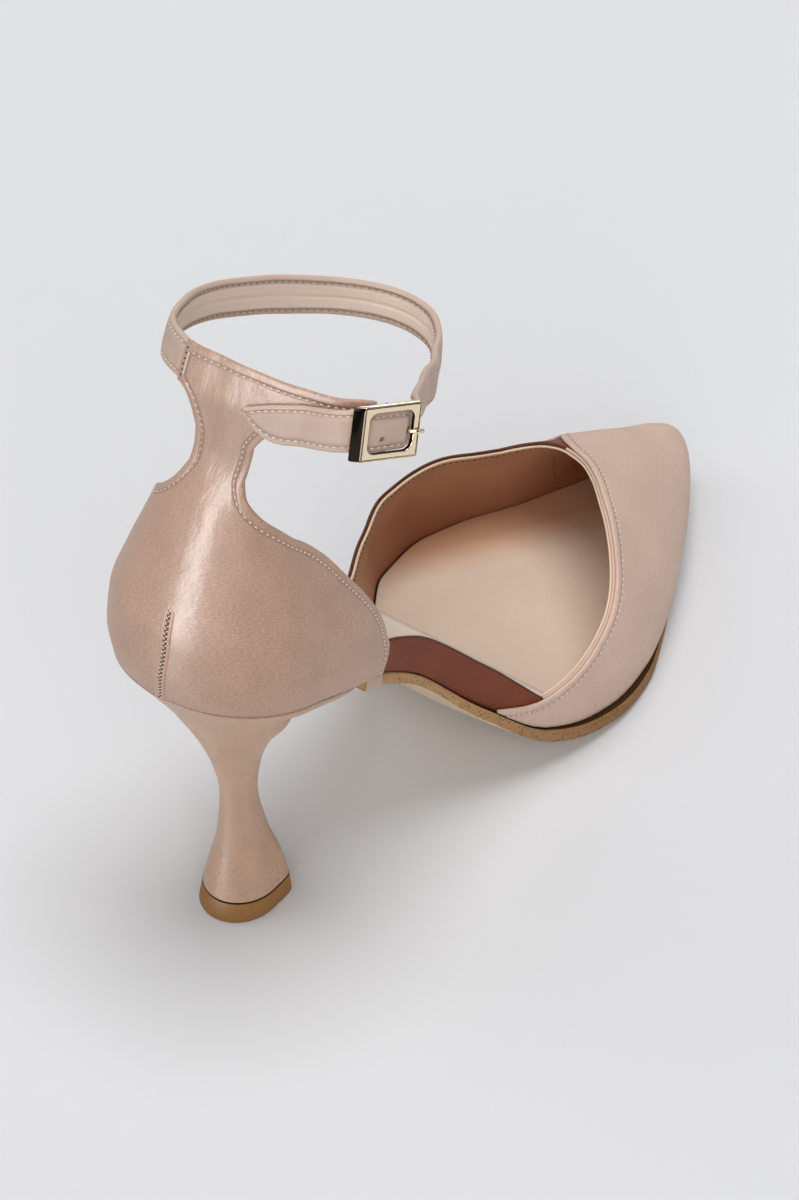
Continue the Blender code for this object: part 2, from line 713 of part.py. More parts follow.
def add_top_lift(material):
    low = heel_ring((TIP_BACK, TIP_MIDDLE, TIP_FRONT, TIP_WIDTH / 2, 7.0), 0, 0, 0)
    high = heel_ring(HEEL_ROWS[0][1:], LIFT_HEIGHT, 0, 0)
    return add_loft("top_lift", [low, high], material)


def buckle_axes():
    """Middle of the buckle on the ring, and its directions: along, outward and up."""
    up = unit(np.array(BUCKLE_UP))
    forward = unit(np.cross((0, 1, 0), up))
    lateral = np.cross(forward, up)
    along = forward * math.cos(BUCKLE_TURN) + lateral * math.sin(BUCKLE_TURN)
    centre = ring_point(BUCKLE_RUN) - up * BUCKLE_DROP
    return centre, along, np.cross(along, up), up


def strap_section(run):
    """Four corners of the strap where it passes a run of the ring."""
    lift = float(read(STRAP_ROWS, 1, run))
    drop = float(read(STRAP_ROWS, 2, run))
    out, up = ring_frame(run)
    top = ring_point(run) + out * lift - up * drop
    centre, along, face, rise = buckle_axes()
    past = run - BUCKLE_RUN
    share = 1 - float(ease(*STRAIGHT, abs(past)))
    level = STRAP_LEVEL + STRAP_RISE * (1 - float(ease(*STRAP_RAMP, abs(past))))
    straight = centre + along * past + face * level + rise * STRAP_WIDTH / 2
    top = top * (1 - share) + straight * share
    out = unit(out * (1 - share) + face * share)
    up = unit(up * (1 - share) + rise * share)
    point = max(0, 1 - (run - TAIL_END) / TAIL_SLANT) ** TAIL_POWER
    slant = TAIL_POINT * STRAP_WIDTH * point
    low = top - up * (STRAP_WIDTH - slant)
    thick = out * STRAP_THICKNESS
    return [top, top + thick, low + thick, low]


def add_ankle_strap(material):
    seam = RING_LENGTH - MEDIAL_WING - 2 * GAP
    runs = list(np.linspace(TAIL_END, TAIL_END + TAIL_SLANT, 8))
    runs += list(np.linspace(TAIL_END + TAIL_SLANT, 46, 24)[1:])
    runs += list(np.linspace(46, seam, 60)[1:])
    strap = add_loft("ankle_strap", [strap_section(run) for run in runs], material)
    centre, along, out, _ = buckle_axes()
    hole = centre + along * HOLE_ALONG
    cutter = add_wire("prong_hole", [hole - out * 2, hole + out * 6], HOLE_RADIUS, None, CUTTERS)
    cutter.hide_render = True
    cutter.display_type = "WIRE"
    cut(strap, cutter, "DIFFERENCE")
    return strap


def rounded_loop(length, height, corner, steps=4):
    """Rounded rectangle about the origin, counterclockwise."""
    points = []
    for k, (sx, sy) in enumerate(((1, 1), (-1, 1), (-1, -1), (1, -1))):
        cx = sx * (length / 2 - corner)
        cy = sy * (height / 2 - corner)
        for i in range(steps + 1):
            angle = math.pi / 2 * (k + i / steps)
            points.append((cx + corner * math.cos(angle), cy + corner * math.sin(angle)))
    return points


def add_buckle_frame(material):
    centre, along, out, up = buckle_axes()
    outer = rounded_loop(BUCKLE_LENGTH, BUCKLE_HEIGHT, BUCKLE_CORNER)
    inner = rounded_loop(BUCKLE_LENGTH - 2 * BUCKLE_BAR, BUCKLE_HEIGHT - 2 * BUCKLE_BAR,
                         BUCKLE_CORNER)
    loops = ((outer, 0), (outer, BUCKLE_DEPTH), (inner, BUCKLE_DEPTH), (inner, 0))
    points = []
    for loop, level in loops:
        base = centre + out * (BUCKLE_LEVEL + level)
        points += [base + along * u + up * v for u, v in loop]
    size = len(outer)
    faces = []
    for k in range(4):
        for i in range(size):
            j = (i + 1) % size
            n = (k + 1) % 4
            faces.append([k * size + i, k * size + j, n * size + j, n * size + i])
    frame = add_mesh("buckle_frame", points, faces, material)
    reach = (BUCKLE_HEIGHT - BUCKLE_BAR) / 2
    bend = reach - 1.0
    inside = BUCKLE_LEVEL + BUCKLE_DEPTH / 2
    low = CENTRE_BAR_LEVEL
    path = ((reach, inside), (reach, low + 1), (reach - 0.3, low + 0.3), (bend, low),
            (-bend, low), (0.3 - reach, low + 0.3), (-reach, low + 1), (-reach, inside))
    line = [centre + up * v + out * level for v, level in path]
    bar = add_wire("centre_bar", line, CENTRE_BAR_RADIUS, material, CUTTERS)
    cut(frame, bar, "UNION")
    settle(frame)
    bpy.data.objects.remove(bar)
    return frame


def add_buckle_prong(material):
    centre, along, out, _ = buckle_axes()
    line = [centre + along * u + out * level for u, level in PRONG_LINE]
    return add_wire("buckle_prong", line, PRONG_RADIUS, material, COLLECTION)


def add_wire(name, line, radius, material, collection):
    """Round wire along a line, as a mesh."""
    curve = bpy.data.curves.new(name + "_line", "CURVE")
    curve.dimensions = "3D"
    curve.bevel_depth = radius * MM
    curve.bevel_resolution = 2
    curve.use_fill_caps = True
    spline = curve.splines.new("POLY")
    spline.points.add(len(line) - 1)
    for point, target in zip(spline.points, line):
        point.co = (*place(target), 1)
    path = bpy.data.objects.new(name + "_line", curve)
    bpy.context.scene.collection.objects.link(path)
    shape = path.evaluated_get(bpy.context.evaluated_depsgraph_get())
    mesh = bpy.data.meshes.new_from_object(shape)
    bpy.data.objects.remove(path)
    work = bmesh.new()
    work.from_mesh(mesh)
    bmesh.ops.remove_doubles(work, verts=work.verts, dist=1e-6)
    bmesh.ops.recalc_face_normals(work, faces=work.faces)
    work.to_mesh(mesh)
    work.free()
    mesh.materials.clear()
    if material:
        mesh.materials.append(material)
    item = bpy.data.objects.new(name, mesh)
    bpy.data.collections[collection].objects.link(item)
    return item


def cut(item, other, operation):
    modifier = item.modifiers.new(operation.lower(), "BOOLEAN")
    modifier.object = other
    modifier.operation = operation
    modifier.solver = "EXACT"


def settle(item):
    """Make an object's modifiers part of its mesh."""
    shape = item.evaluated_get(bpy.context.evaluated_depsgraph_get())
    mesh = bpy.data.meshes.new_from_object(shape)
    item.modifiers.clear()
    item.data = mesh


def main():
    for item in list(bpy.data.objects):
        bpy.data.objects.remove(item)
    for name in (COLLECTION, CUTTERS):
        bpy.context.scene.collection.children.link(bpy.data.collections.new(name))
    satin = add_material("blush_satin", (0.55, 0.38, 0.29), 0.38)
    leather = add_material("blush_leather", (0.58, 0.43, 0.36), 0.55)
    cover = add_material("heel_cover", (0.56, 0.38, 0.30), 0.45)
    strap = add_material("strap_leather", (0.58, 0.42, 0.34), 0.55)
    lining = add_material("tan_lining", (0.42, 0.22, 0.13), 0.6)
    sock = add_material("beige_sock", (0.64, 0.48, 0.38), 0.6)
    edge = add_material("tan_sole", (0.38, 0.23, 0.12), 0.65)
    lift = add_material("tan_rubber", (0.32, 0.17, 0.07), 0.6)
    gold = add_material("pale_gold", (0.86, 0.70, 0.48), 0.15, 1.0)
    add_outsole(edge)
    add_insole(sock)
    add_heel(cover)
    add_top_lift(lift)
    add_upper(lining)
    add_vamp(leather)
    add_counter(satin)
    add_ankle_strap(strap)
    add_buckle_frame(gold)
    add_buckle_prong(gold)


main()
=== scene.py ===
"""Dress of the ankle-strap pump: leather, satin, lining, sole, heel and buckle over its frame.

Shapes are worked out in millimetres, with x measured from the back of the heel seat, and placed
in metres. A run is the distance round the edge of the sole from the back seam, positive toward the
lateral side, where the buckle is.
"""
import math

import bmesh
import bpy
import numpy as np
from mathutils import Matrix, Vector
from mathutils.kdtree import KDTree


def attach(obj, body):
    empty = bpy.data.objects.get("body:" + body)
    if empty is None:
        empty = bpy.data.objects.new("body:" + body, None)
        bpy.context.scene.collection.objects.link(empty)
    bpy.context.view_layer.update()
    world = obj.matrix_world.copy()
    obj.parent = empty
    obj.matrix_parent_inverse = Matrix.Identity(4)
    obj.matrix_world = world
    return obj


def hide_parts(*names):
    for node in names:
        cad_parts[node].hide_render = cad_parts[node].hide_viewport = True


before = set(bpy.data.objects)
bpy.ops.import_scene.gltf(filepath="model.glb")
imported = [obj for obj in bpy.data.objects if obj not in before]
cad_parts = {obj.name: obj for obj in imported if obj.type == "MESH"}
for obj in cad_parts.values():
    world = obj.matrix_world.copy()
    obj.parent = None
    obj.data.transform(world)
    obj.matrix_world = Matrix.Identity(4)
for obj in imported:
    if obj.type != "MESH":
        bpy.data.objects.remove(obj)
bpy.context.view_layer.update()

bl_info = {
    "name": "Ankle-strap pump",
    "version": (1, 0, 0),
    "blender": (4, 5, 0),
    "location": "View3D > Sidebar > Pump",
    "description": "Dresses the packed pump and sets its stage",
    "category": "Object",
}

MM = 0.001
BODY = "root"

# The last: its length in plan, the round end of the heel, that end's run, and the toe's tip
SHOE_LENGTH = 236.4
HEEL_RADIUS = 26.0
QUARTER = HEEL_RADIUS * math.pi / 2
TOE_TIP_Y = 1.3
# Thicknesses, and the room between two pieces
GAP = 0.3
OVERLAY = 0.9
OVERLAY_PROUD = 0.15
LINING = 1.1
INSOLE = 2.0
# Layers of the sides: depth, thickness, and both again at the tab
QUARTER_LAYER = (1.1, 0.82, 1.06, 0.3)
LINING_LAYER = (1.98, 0.74, 1.38, 0.34)
LINING_FACE = LINING_LAYER[0] + LINING_LAYER[1]
LINING_SEAM = 1.4
STRAP_WIDTH = 9.3
STRAP_THICKNESS = 1.6
# The top lift, whose middle is the frame's origin, and the front of the heel's seat
LIFT_BACK = 26.2
LIFT_FRONT = 47.6
LIFT_WIDTH = 19.4
LIFT_MIDDLE = 37.9
LIFT_HEIGHT = 5.6
HEEL_BREAST = 47.8
ORIGIN_X = (LIFT_BACK + LIFT_FRONT) / 2

# Edge of the sole from the side: x, height
SOLE_LINE = (
    (0, 92.8), (20, 88.0), (45, 79.0), (70, 63.0), (98, 33.5), (120, 13.8),
    (138, 7.2), (158, 4.9), (182, 4.4), (208, 5.2), (238, 8.5),
)
# Edge of the sole from above: x, lateral, medial
SOLE_PLAN = (
    (26, 26.0, 25.8), (40, 27.0, 25.5), (60, 24.8, 20.5), (80, 25.3, 15.5), (98, 28.8, 15.0),
    (116, 33.4, 20.3), (132, 36.8, 30.0), (147, 38.2, 37.4), (162, 36.6, 38.8),
    (177, 32.4, 35.0), (196, 24.4, 25.2), (212, 16.4, 17.6), (224, 9.4, 12.0),
    (231, 4.7, 8.0), (235, 1.4, 4.8), (SHOE_LENGTH, -TOE_TIP_Y, TOE_TIP_Y),
)
# Top of the last: x, height, y, power of the section
RIDGE = (
    (90, 84, -2, 2.3), (120, 72, 0, 2.3), (150, 54, 3, 2.25), (165, 46.5, 3.5, 2.2),
    (180, 39.5, 3.5, 2.2), (190, 34.8, 3.3, 2.2), (200, 30, 3, 2.2), (210, 24.8, 2.6, 2.2),
    (218, 20, 2.3, 2.2), (226, 15.6, 2.0, 2.2), (232, 11.0, 1.8, 2.2),
    (SHOE_LENGTH, 0, TOE_TIP_Y, 2.2),
)
# Swell of the wall over the edge of the sole: x, lateral, medial
SWELL = (
    (60, 1.5, 3.4), (80, 1.5, 6.6), (100, 1.6, 7.3), (120, 1.6, 5.9), (138, 1.4, 3.4),
    (150, 1.3, 3.0), (165, 1.2, 3.2), (178, 1.2, 2.4), (200, 1.2, 1.3), (228, 0.8, 0.8),
    (SHOE_LENGTH, 0, 0),
)
SWELL_HEIGHT = 46.0
SWELL_SHARE = 0.9
SWELL_POWER = 0.85
# Draw of the heel wall: height, at the back, at the sides
HEEL_DRAW = (
    (0, 0, 0), (9, -1.6, -1.6), (18, -1.0, -1.2), (28, 3.0, 1.5), (42, 9.2, 6.3),
    (58, 17.0, 11.5), (70, 21.5, 15.0), (90, 23.0, 16.0),
)
HEEL_WALL_END = 40.0
LAST_WALL_START = 85.0
# Ankle ring about its middle: turn from the back toward lateral, reach, height of its top edge
RING_MIDDLE = (55.0, -5.0)
RING_ROWS = (
    (-180, 33.9, 157.4), (-160, 32.8, 157.9), (-137, 30.9, 160.0), (-113, 30.4, 163.3),
    (-90, 32.1, 166.8), (-65, 34.2, 171.5), (-45, 36.5, 175.4), (-28, 35.9, 177.9),
    (-10, 33.2, 178.6), (6, 32.4, 178.5), (23, 33.4, 178.3), (43, 37.2, 178.7),
    (55, 37.8, 177.4), (66, 35.4, 175.3), (80, 29.8, 171.7), (105, 24.7, 166.2),
    (130, 25.0, 161.7), (150, 28.9, 159.2), (168, 32.9, 157.9), (180, 33.9, 157.4),
)
RING_STEP = 1.5
RING_BACK = 60
# Lean of the band that runs round the ring, and how much less it measures round at its top edge
BAND_LEAN = (0.26, 0.048, 0.965)
BAND_TAPER = 0.1
# Tab and wings, by height over the edge of the sole at the back
TAB_ROOT = 57.0
WING_ROOT = 66.0
BAND_TOP = 178.5 - SOLE_LINE[0][1]
BAND_BOTTOM = BAND_TOP - STRAP_WIDTH
RING_BLEND = (48.0, WING_ROOT)
TAB_RUN = 16.5
TAB_SCALE = 0.45
TAB_SHIFT = 1.7
TAB_BLEND = 6
MEDIAL_WING = 11.5
LATERAL_WING = 36.5
WING_FILLET = 12.0
FILLET_POWER = 2.2
COUNTER_END = 71.0
# Top edges: run, height, lean of the rib
LATERAL_TOPLINE = (
    (TAB_RUN, TAB_ROOT, 0), (20, 53.8, 0), (27, 51.2, 0), (36, 48.4, 0), (43.5, 44.7, 0),
    (49.6, 39.7, 0), (55.4, 33, 0), (62.8, 25, 0), (68.1, 17, 0), (71, 10.6, 0),
    (80, 11.2, 1.5), (89, 11.9, 4), (109, 12.9, 9), (124, 11.4, 13), (132, 9.2, 15),
)
MEDIAL_TOPLINE = (
    (TAB_RUN, TAB_ROOT, 0), (20, 52.0, 0), (27, 48.0, 0), (36, 45.0, 0), (43.5, 41.5, 0),
    (50, 35.0, 0), (57, 27.0, 0), (64, 19.5, 0), (71, 13.5, 0), (85, 11.4, 0), (100, 11.0, 0),
    (112, 11.4, 0), (122, 13.2, 0), (132, 16.6, 0), (140, 20.4, 0), (148, 24.4, 0),
    (156, 27.7, 1), (165, 29.7, 4), (174, 30.7, 6), (184, 30.7, 9), (191, 30.0, 10.5),
    (198, 28.6, 12),
)
# Throat: turn over the last, x
THROAT = (
    (8.6, 123.5), (16, 134), (25.8, 144.5), (34, 151.6), (43, 158.4), (54, 166.3), (63, 172.4),
    (75, 180.2), (85, 184.7), (100, 187.4), (116, 187.4), (126, 186),
)
VAMP_SETBACK = (
    (0, 0), (85, 0), (96, 0.015), (108, 0.07), (120, 0.135), (132, 0.17), (150, 0.19), (180, 0.2),
)
TOE_CROWDING = 1.7
TOE_BLEND = 0.6
# The toe's cloth, laid out beyond the sides': shift along, width of a degree
TOE_CLOTH = (200, 0.6)
# Where rims change, in that cloth: past it the toe, above it the tab, below it the throat
THROAT_CLOTH = 305.0
TAB_RIM = 42.0
MEDIAL_CORNER = 58.0
# Thinner medial side between its overlays: rise, its runs at both ends, its heights at the foot
BARE_RISE = 0.85
BARE_BACK = (78, 92)
BARE_FRONT = (182, 194)
BARE_FOOT = (5, 12)
# Seams inside the medial side: x, turn over the last
LINING_SEAMS = (((202, 147), (203.6, 158), (206, 179)), ((210, 160), (211.5, 178)))
# Rows and columns of the grids, and the steps between columns
WALL_ROWS = 26
NECK_ROWS = 7
BAND_ROWS = 10
TAB_COLUMNS = 26
THROAT_ROWS = 64
TOE_COLUMNS = 52
WALL_STEP = 1.5
MEDIAL_STEP = 1.9
LATERAL_STEP = 1.7
WING_STEP = 1.1
# Rounding of a shell's rim: share of the thickness, reach outward as a share of it
RIM = ((0.04, 0.2), (0.16, 0.38), (0.34, 0.49), (0.5, 0.52), (0.66, 0.49), (0.84, 0.38),
       (0.96, 0.2), (1, 0))
RIM_REACH = 1.3
# Outsole: x, height of its underside, edge thickness, flat share, overhang
SOLE_ROWS = (
    (48.4, 73.2, 3.8, 0.0, -0.5), (60, 66.2, 3.5, 0.0, -0.6), (80, 48.5, 3.4, 0.0, -0.4),
    (98, 27.5, 3.6, 0.1, 0.4), (112, 14.2, 3.8, 0.3, 1.0), (124, 6.0, 4.0, 0.5, 1.5),
    (138, 1.6, 4.0, 0.65, 1.9), (150, 0.0, 4.0, 0.7, 2.0), (160, 0.0, 4.0, 0.7, 1.8),
    (170, 0.0, 4.0, 0.7, 0.9), (180, 0.0, 4.0, 0.7, 0.0), (192, 0.0, 3.8, 0.7, -0.6),
    (205, 0.5, 3.6, 0.7, -0.8), (214, 1.3, 3.4, 0.65, -1.0), (230, 3.5, 3.0, 0.5, -1.4),
    (SHOE_LENGTH, 5.2, 2.4, 0.3, -1.5),
)
# End of the satin on its edge at the waist, faces across it, drop of its top, edge's rounding
WAIST_END = 56.0
SOLE_ACROSS = 24
SOLE_LEVEL = GAP * 0.75
SOLE_ROUNDING = 0.55
# How far short of its tip the sole's last station stands, and then the insole's
SOLE_SHORT = 0.05
INSOLE_SHORT = 0.1
# Where a plate's stations start to crowd toward the toe
TOE_START = 210
# Rounded edge of a plate: points, power of its curve, most of the half width that it takes
PLATE_ROUND = 7
PLATE_POWER = 0.6
PLATE_TRIM = 0.9
# The insole: its clearance, pad and turned edge, and the glazed sock laid on its back
INSOLE_INSET = OVERLAY + 2 * GAP + LINING + 0.15
INSOLE_ROUNDING = 0.7
PAD_RISE = 0.35
PAD_END = (70, 30)
EDGE_FALL = 0.3
HEEL_SOCK_FRONT = 133.0
HEEL_SOCK_INSET = 1.2
HEEL_SOCK_NARROWING = 0.8
HEEL_SOCK_LAYER = (0.02, 0.35)
HEEL_SOCK_ROUNDING = 0.3
SOCK_ACROSS = 28
# Heel: level, back, middle, front, half width, power of the front
HEEL_ROWS = (
    (5.9, 27.2, 38.2, 47.0, 9.2, 6.0), (13, 28.0, 38.0, 45.6, 7.8, 5.0),
    (24, 29.5, 36.8, 42.4, 5.4, 3.0), (38, 29.0, 34.8, 39.2, 4.1, 2.4),
    (50, 25.8, 33.8, 38.6, 5.7, 2.4), (60, 21.2, 32.0, 39.6, 9.1, 2.5),
    (70, 14.6, 29.4, 43.4, 14.4, 2.4), (79, 6.7, 27.0, 46.0, 15.0, 2.1),
)
# Levels where it starts to flare to the sole's width, where its rings crowd, and where they
# start to tilt to the seat; then the dark band at its foot, and half the cloth's width round it
HEEL_FLARE = 72.8
HEEL_WAIST = 50
HEEL_TILT_START = 44
HEEL_FOOT_BAND = 0.35
HEEL_CLOTH = 40
# The seat of the heel: middle, half width, power of its front, and size and rise of its rings
SEAT_MIDDLE = 24.0
SEAT_HALF_WIDTH = 26.0
SEAT_POWER = 8.0
SEAT_RINGS = ((0.985, 0.08), (0.66, 0.0), (0.33, 0.0))
# Rings of the top lift: share of its height, size
LIFT_RINGS = ((0.0, 0.94), (0.02, 0.975), (0.09, 1.0), (0.5, 1.0), (0.94, 1.0), (0.99, 0.99),
              (1.0, 0.95))
LIFT_POWER = 7.0
# Strap: where its end starts, how far that is slanted, how deep and how sharply
TAIL_END = 7.2
TAIL_SLANT = 12.0
TAIL_DEPTH = 0.9
TAIL_POWER = 2.2
# Strap: run, lift over the ring, drop of its top edge, width
STRAP_ROWS = (
    (TAIL_END, 0.4, 8.0, 9.4), (15, 0.4, 4.4, 9.7), (22, 0.4, 2.4, 9.8), (31, 0.4, 0.9, 10.2),
    (40, 0.4, 0.6, 9.9), (46, 0.0, 0.2, 9.4), (52, -1.2, 0, 8.6), (60, -1.2, -0.2, 9.2),
    (72, -0.8, -0.6, 10.0), (90, -1.0, -0.9, 9.9),
    (110, -1.3, -0.8, 9.7), (125, -1.5, -0.6, 9.9), (138, -1.6, -0.4, 10.5),
    (150, -1.7, -0.5, 10.5), (168, -1.8, -1.2, 10.6), (180, -1.8, -0.7, 10.2),
    (205, -1.8, 0, 9.3),
)
# Section of the strap: columns of a face, points of an edge, the run where its rings spread
# out, how far the tail's cut counts as an edge, where its seams start and stop short of its
# ends, and rise and slope of both faces in their seams
STRAP_COUNT = 30
STRAP_ROUND = 5
STRAP_DENSE_END = 56
TAIL_EDGE = 0.4
STRAP_SEAM_ENDS = (1.5, 2.0)
PILLOW = (0.16, 1.6)
INNER_PILLOW = (0.08, 1.4)
# Dent at the seam and crease down the middle: depth, half width
SEAM_DENT = (0.14, 0.5)
CREASE = (0.22, 0.45)
# Buckle: run of its middle, direction of its height, turn about that, drop from the ring's edge
BUCKLE_RUN = 38.0
BUCKLE_UP = (0.303, 0.13, 0.944)
BUCKLE_TURN = math.radians(26.0)
BUCKLE_DROP = 4.85
# Buckle frame: size, bar, depth, level over the ring, slope of its outer end
BUCKLE_LENGTH = 15.2
BUCKLE_HEIGHT = 13.3
BUCKLE_BAR = 1.7
BUCKLE_DEPTH = 1.2
BUCKLE_LEVEL = 3.6
BUCKLE_SLOPE = 2.4
# Its roundings: inner corner, outer corner as a share of that, edge
CORNER_RADIUS = 2.1
OUTER_CORNER = 0.42
EDGE_ROUNDING = 0.22
# Strap inside the buckle: level, rise over the centre bar, lift, drop, bow, and where each fades
STRAP_LEVEL = 0.9
STRAP_RISE = 1.75
STRAP_DIP = (4.0, 7.0)
STRAP_LIFT = 0.2
STRAIGHT = ((7.0, 12.5), (8.0, 17.0))
BUCKLE_STRAP_DROP = 0.3
DROP_REACH = (5, 14)
BUCKLE_STRAP_BOW = 0.5
BOW_REACH = (4, 9)
# Centre bar: radius, level, how far its ends stop short of the frame's edges, and their bend
CENTRE_BAR_RADIUS = 0.5
CENTRE_BAR_LEVEL = 1.15
CENTRE_BAR_SHORT = 1.0
CENTRE_BAR_BEND = ((0.0, 1.0), (0.3, 0.3), (1.0, 0.0))
# Prong: radius, then distance along and level
PRONG_RADIUS = 0.48
PRONG_LINE = (
    (1.6, 0.6), (3.4, 0.5), (4.5, 0.6), (5.05, 1.4), (5.15, 2.8), (5.25, 4.2), (5.7, 5.2),
    (6.6, 5.45), (8.2, 5.35),
)
# Holes: distance along, rise, radius
HOLES = ((5.15, 0.0, 0.8), (-1.85, -1.4, 0.55))
# One stitch, drawn out along its length: rise, size
STITCH_STEPS = ((0.12, 1.8), (0.38, 1.12), (0.38, 0.89), (0.12, 0.55))
# Its arch and how far it sinks, as shares of its width, and the needle marks' share of its length
STITCH_ARCH = 0.6
STITCH_SINK = 0.3
LINING_MARK = 0.8
# Lines with no more points than this aren't sewn
SHORT_LINE = 8
# Marks of the wing's seam: pitch, length, rise over the satin, place beside the strap's end, room
# kept around them, and room below and above them
WING_PITCH = 1.35
WING_MARK = 0.75
MARK_RISE = 0.02
WING_SEAM = 0.7
WING_ROOM = 1.4
WING_ENDS = (0.5, 0.6)
# Dart up the back: run, height
DART_LINE = ((0.5, 0.0), (1.3, 8.0), (2.0, 16.5), (1.6, 22.0), (1.0, 26.5))
# Its section: across, out
DART_SECTION = ((1.5, -0.12), (1.3, 0.12), (1.0, 0.36), (0.7, 0.34), (0.48, 0.04), (0.0, 0.0),
                (-0.48, 0.04), (-0.7, 0.34), (-1.0, 0.36), (-1.3, 0.12), (-1.5, -0.12),
                (0.0, -0.5))
# Its upper end: length, width as a share, depth under the satin
DART_FADE = 1.2
DART_END_WIDTH = 0.35
DART_SINK = 0.12
# Its zigzag: rise over the ridge; then pitch, swing, and the thread's length and width
THREAD_RISE = 0.1
ZIGZAG = (0.62, 0.9, 1.2, 0.3)

# The stage
LIGHT_TARGET = Vector((0.0, 0.0, 0.11))
WORLD_COLOR = (0.985, 0.99, 1.0)
WORLD_STRENGTH = 0.09
# Large far lights: name, place, spread in degrees, strength
SOFT_LIGHTS = (
    ("overhead", (0.01, 0.0, 2.0), 38.0, 1.8),
    ("behind_heel", (-1.47, -0.92, 1.1), 50.0, 1.1),
    ("left_side", (-0.82, 1.3, 1.4), 50.0, 0.62),
    ("right_side", (1.0, -1.0, 0.9), 50.0, 0.3),
)
# Strip lights that show only in shine: name, place, width, height, power
STRIPS = (
    ("sheen_strip", (-2.0, 0.25, 0.45), 0.35, 1.3, 70.0),
    ("gleam_card", (1.7, 1.0, 0.7), 1.4, 0.8, 9.0),
)
# Camera: turn, fall and roll in degrees, what it looks at in millimetres, distance and lens,
# and how far it is moved to the right and up
CAMERA_ANGLES = (32.2, 41.8, 3.8)
CAMERA_TARGET = (110.0, 0.0, 60.0)
CAMERA_DISTANCE = 1.5
CAMERA_LENS = 183.6
CAMERA_SHIFT = (-0.0054412, -0.0113480)
FLOOR_SIZE = 6


# ---- the form of the last ----

def curve_through(xs, ys, x):
    """Cubic through the points that never overshoots them."""
    xs = np.asarray(xs, float)
    ys = np.asarray(ys, float)
    step = np.diff(xs)
    rise = np.diff(ys) / step
    slope = np.zeros(len(xs))
    slope[0], slope[-1] = rise[0], rise[-1]
    for i in range(1, len(xs) - 1):
        if rise[i - 1] * rise[i] > 0:
            before = 2 * step[i] + step[i - 1]
            after = step[i] + 2 * step[i - 1]
            slope[i] = (before + after) / (before / rise[i - 1] + after / rise[i])
    i = np.clip(np.searchsorted(xs, x) - 1, 0, len(xs) - 2)
    t = np.clip((x - xs[i]) / step[i], 0, 1)
    return ((2 * t**3 - 3 * t**2 + 1) * ys[i] + (t**3 - 2 * t**2 + t) * step[i] * slope[i]
            + (3 * t**2 - 2 * t**3) * ys[i + 1] + (t**3 - t**2) * step[i] * slope[i + 1])


def read(table, column, x):
    rows = np.asarray(table, float)
    return curve_through(rows[:, 0], rows[:, column], x)


def ease(start, end, x):
    t = np.clip((x - start) / (end - start), 0, 1)
    return t * t * (3 - 2 * t)


def unit(vectors):
    return vectors / np.maximum(np.linalg.norm(vectors, axis=-1, keepdims=True), 1e-12)


def sole_height(x):
    return read(SOLE_LINE, 1, x)


def read_to_tip(table, column, x):
    """A table's column, smooth in the root of the distance to the toe's tip."""
    rows = np.asarray(table, float)[::-1]
    root = np.sqrt(SHOE_LENGTH - rows[:, 0])
    return curve_through(root, rows[:, column], np.sqrt(np.maximum(SHOE_LENGTH - x, 0)))


def half_width(lateral, x):
    """Half width of the sole's edge, lateral where that is true and medial elsewhere."""
    return np.where(lateral, read_to_tip(SOLE_PLAN, 1, x), read_to_tip(SOLE_PLAN, 2, x))


def ridge(x):
    """Height, y and power of the last's section at x."""
    x = np.maximum(x, RIDGE[0][0])
    return [read_to_tip(RIDGE, column, x) for column in (1, 2, 3)]


def swell(lateral, x, height):
    most = np.where(lateral, read(SWELL, 1, x), read(SWELL, 2, x))
    reach = np.maximum(np.minimum(SWELL_HEIGHT, SWELL_SHARE * ridge(x)[0]), GAP)
    return most * np.sin(np.pi * np.clip(height / reach, 0, 1) ** SWELL_POWER)


def ring_line():
    """Closed line of the ankle ring's top edge, with the run along it from the back."""
    turns = np.arange(-180, 181, RING_STEP)
    rows = np.asarray(RING_ROWS, float)
    full_turn = (360, 0, 0)
    rows = np.vstack((rows[-4:-1] - full_turn, rows, rows[1:4] + full_turn))
    reach = curve_through(rows[:, 0], rows[:, 1], turns)
    top = curve_through(rows[:, 0], rows[:, 2], turns)
    x = RING_MIDDLE[0] - reach * np.cos(np.radians(turns))
    y = RING_MIDDLE[1] - reach * np.sin(np.radians(turns))
    run = np.concatenate(((0,), np.cumsum(np.hypot(np.diff(x), np.diff(y)))))
    near_back = np.abs(turns) < RING_BACK
    start = np.interp(0, -y[near_back], run[near_back])
    return np.column_stack((x, y, top)), run - start


RING, RING_RUN = ring_line()
RING_LENGTH = RING_RUN[-1] - RING_RUN[0]


def ring_point(run):
    run = (np.asarray(run, float) - RING_RUN[0]) % RING_LENGTH + RING_RUN[0]
    return np.stack([np.interp(run, RING_RUN, RING[:, c]) for c in range(3)], axis=-1)


def ring_frame(run):
    """Directions of the band: outward, and up its own face."""
    along = unit(ring_point(run + 2.0) - ring_point(run - 2.0))
    level = unit(np.cross(along, BAND_LEAN))
    up = unit(np.cross(level, along) - level * BAND_TAPER)
    return unit(np.cross(along, up)), up


def band_point(run, height):
    up = ring_frame(run)[1]
    below = np.maximum(BAND_BOTTOM - height, 0)
    down = np.stack((below * 0, below * 0, below), axis=-1)
    return ring_point(run) + up * (height + below - BAND_TOP)[..., None] - down


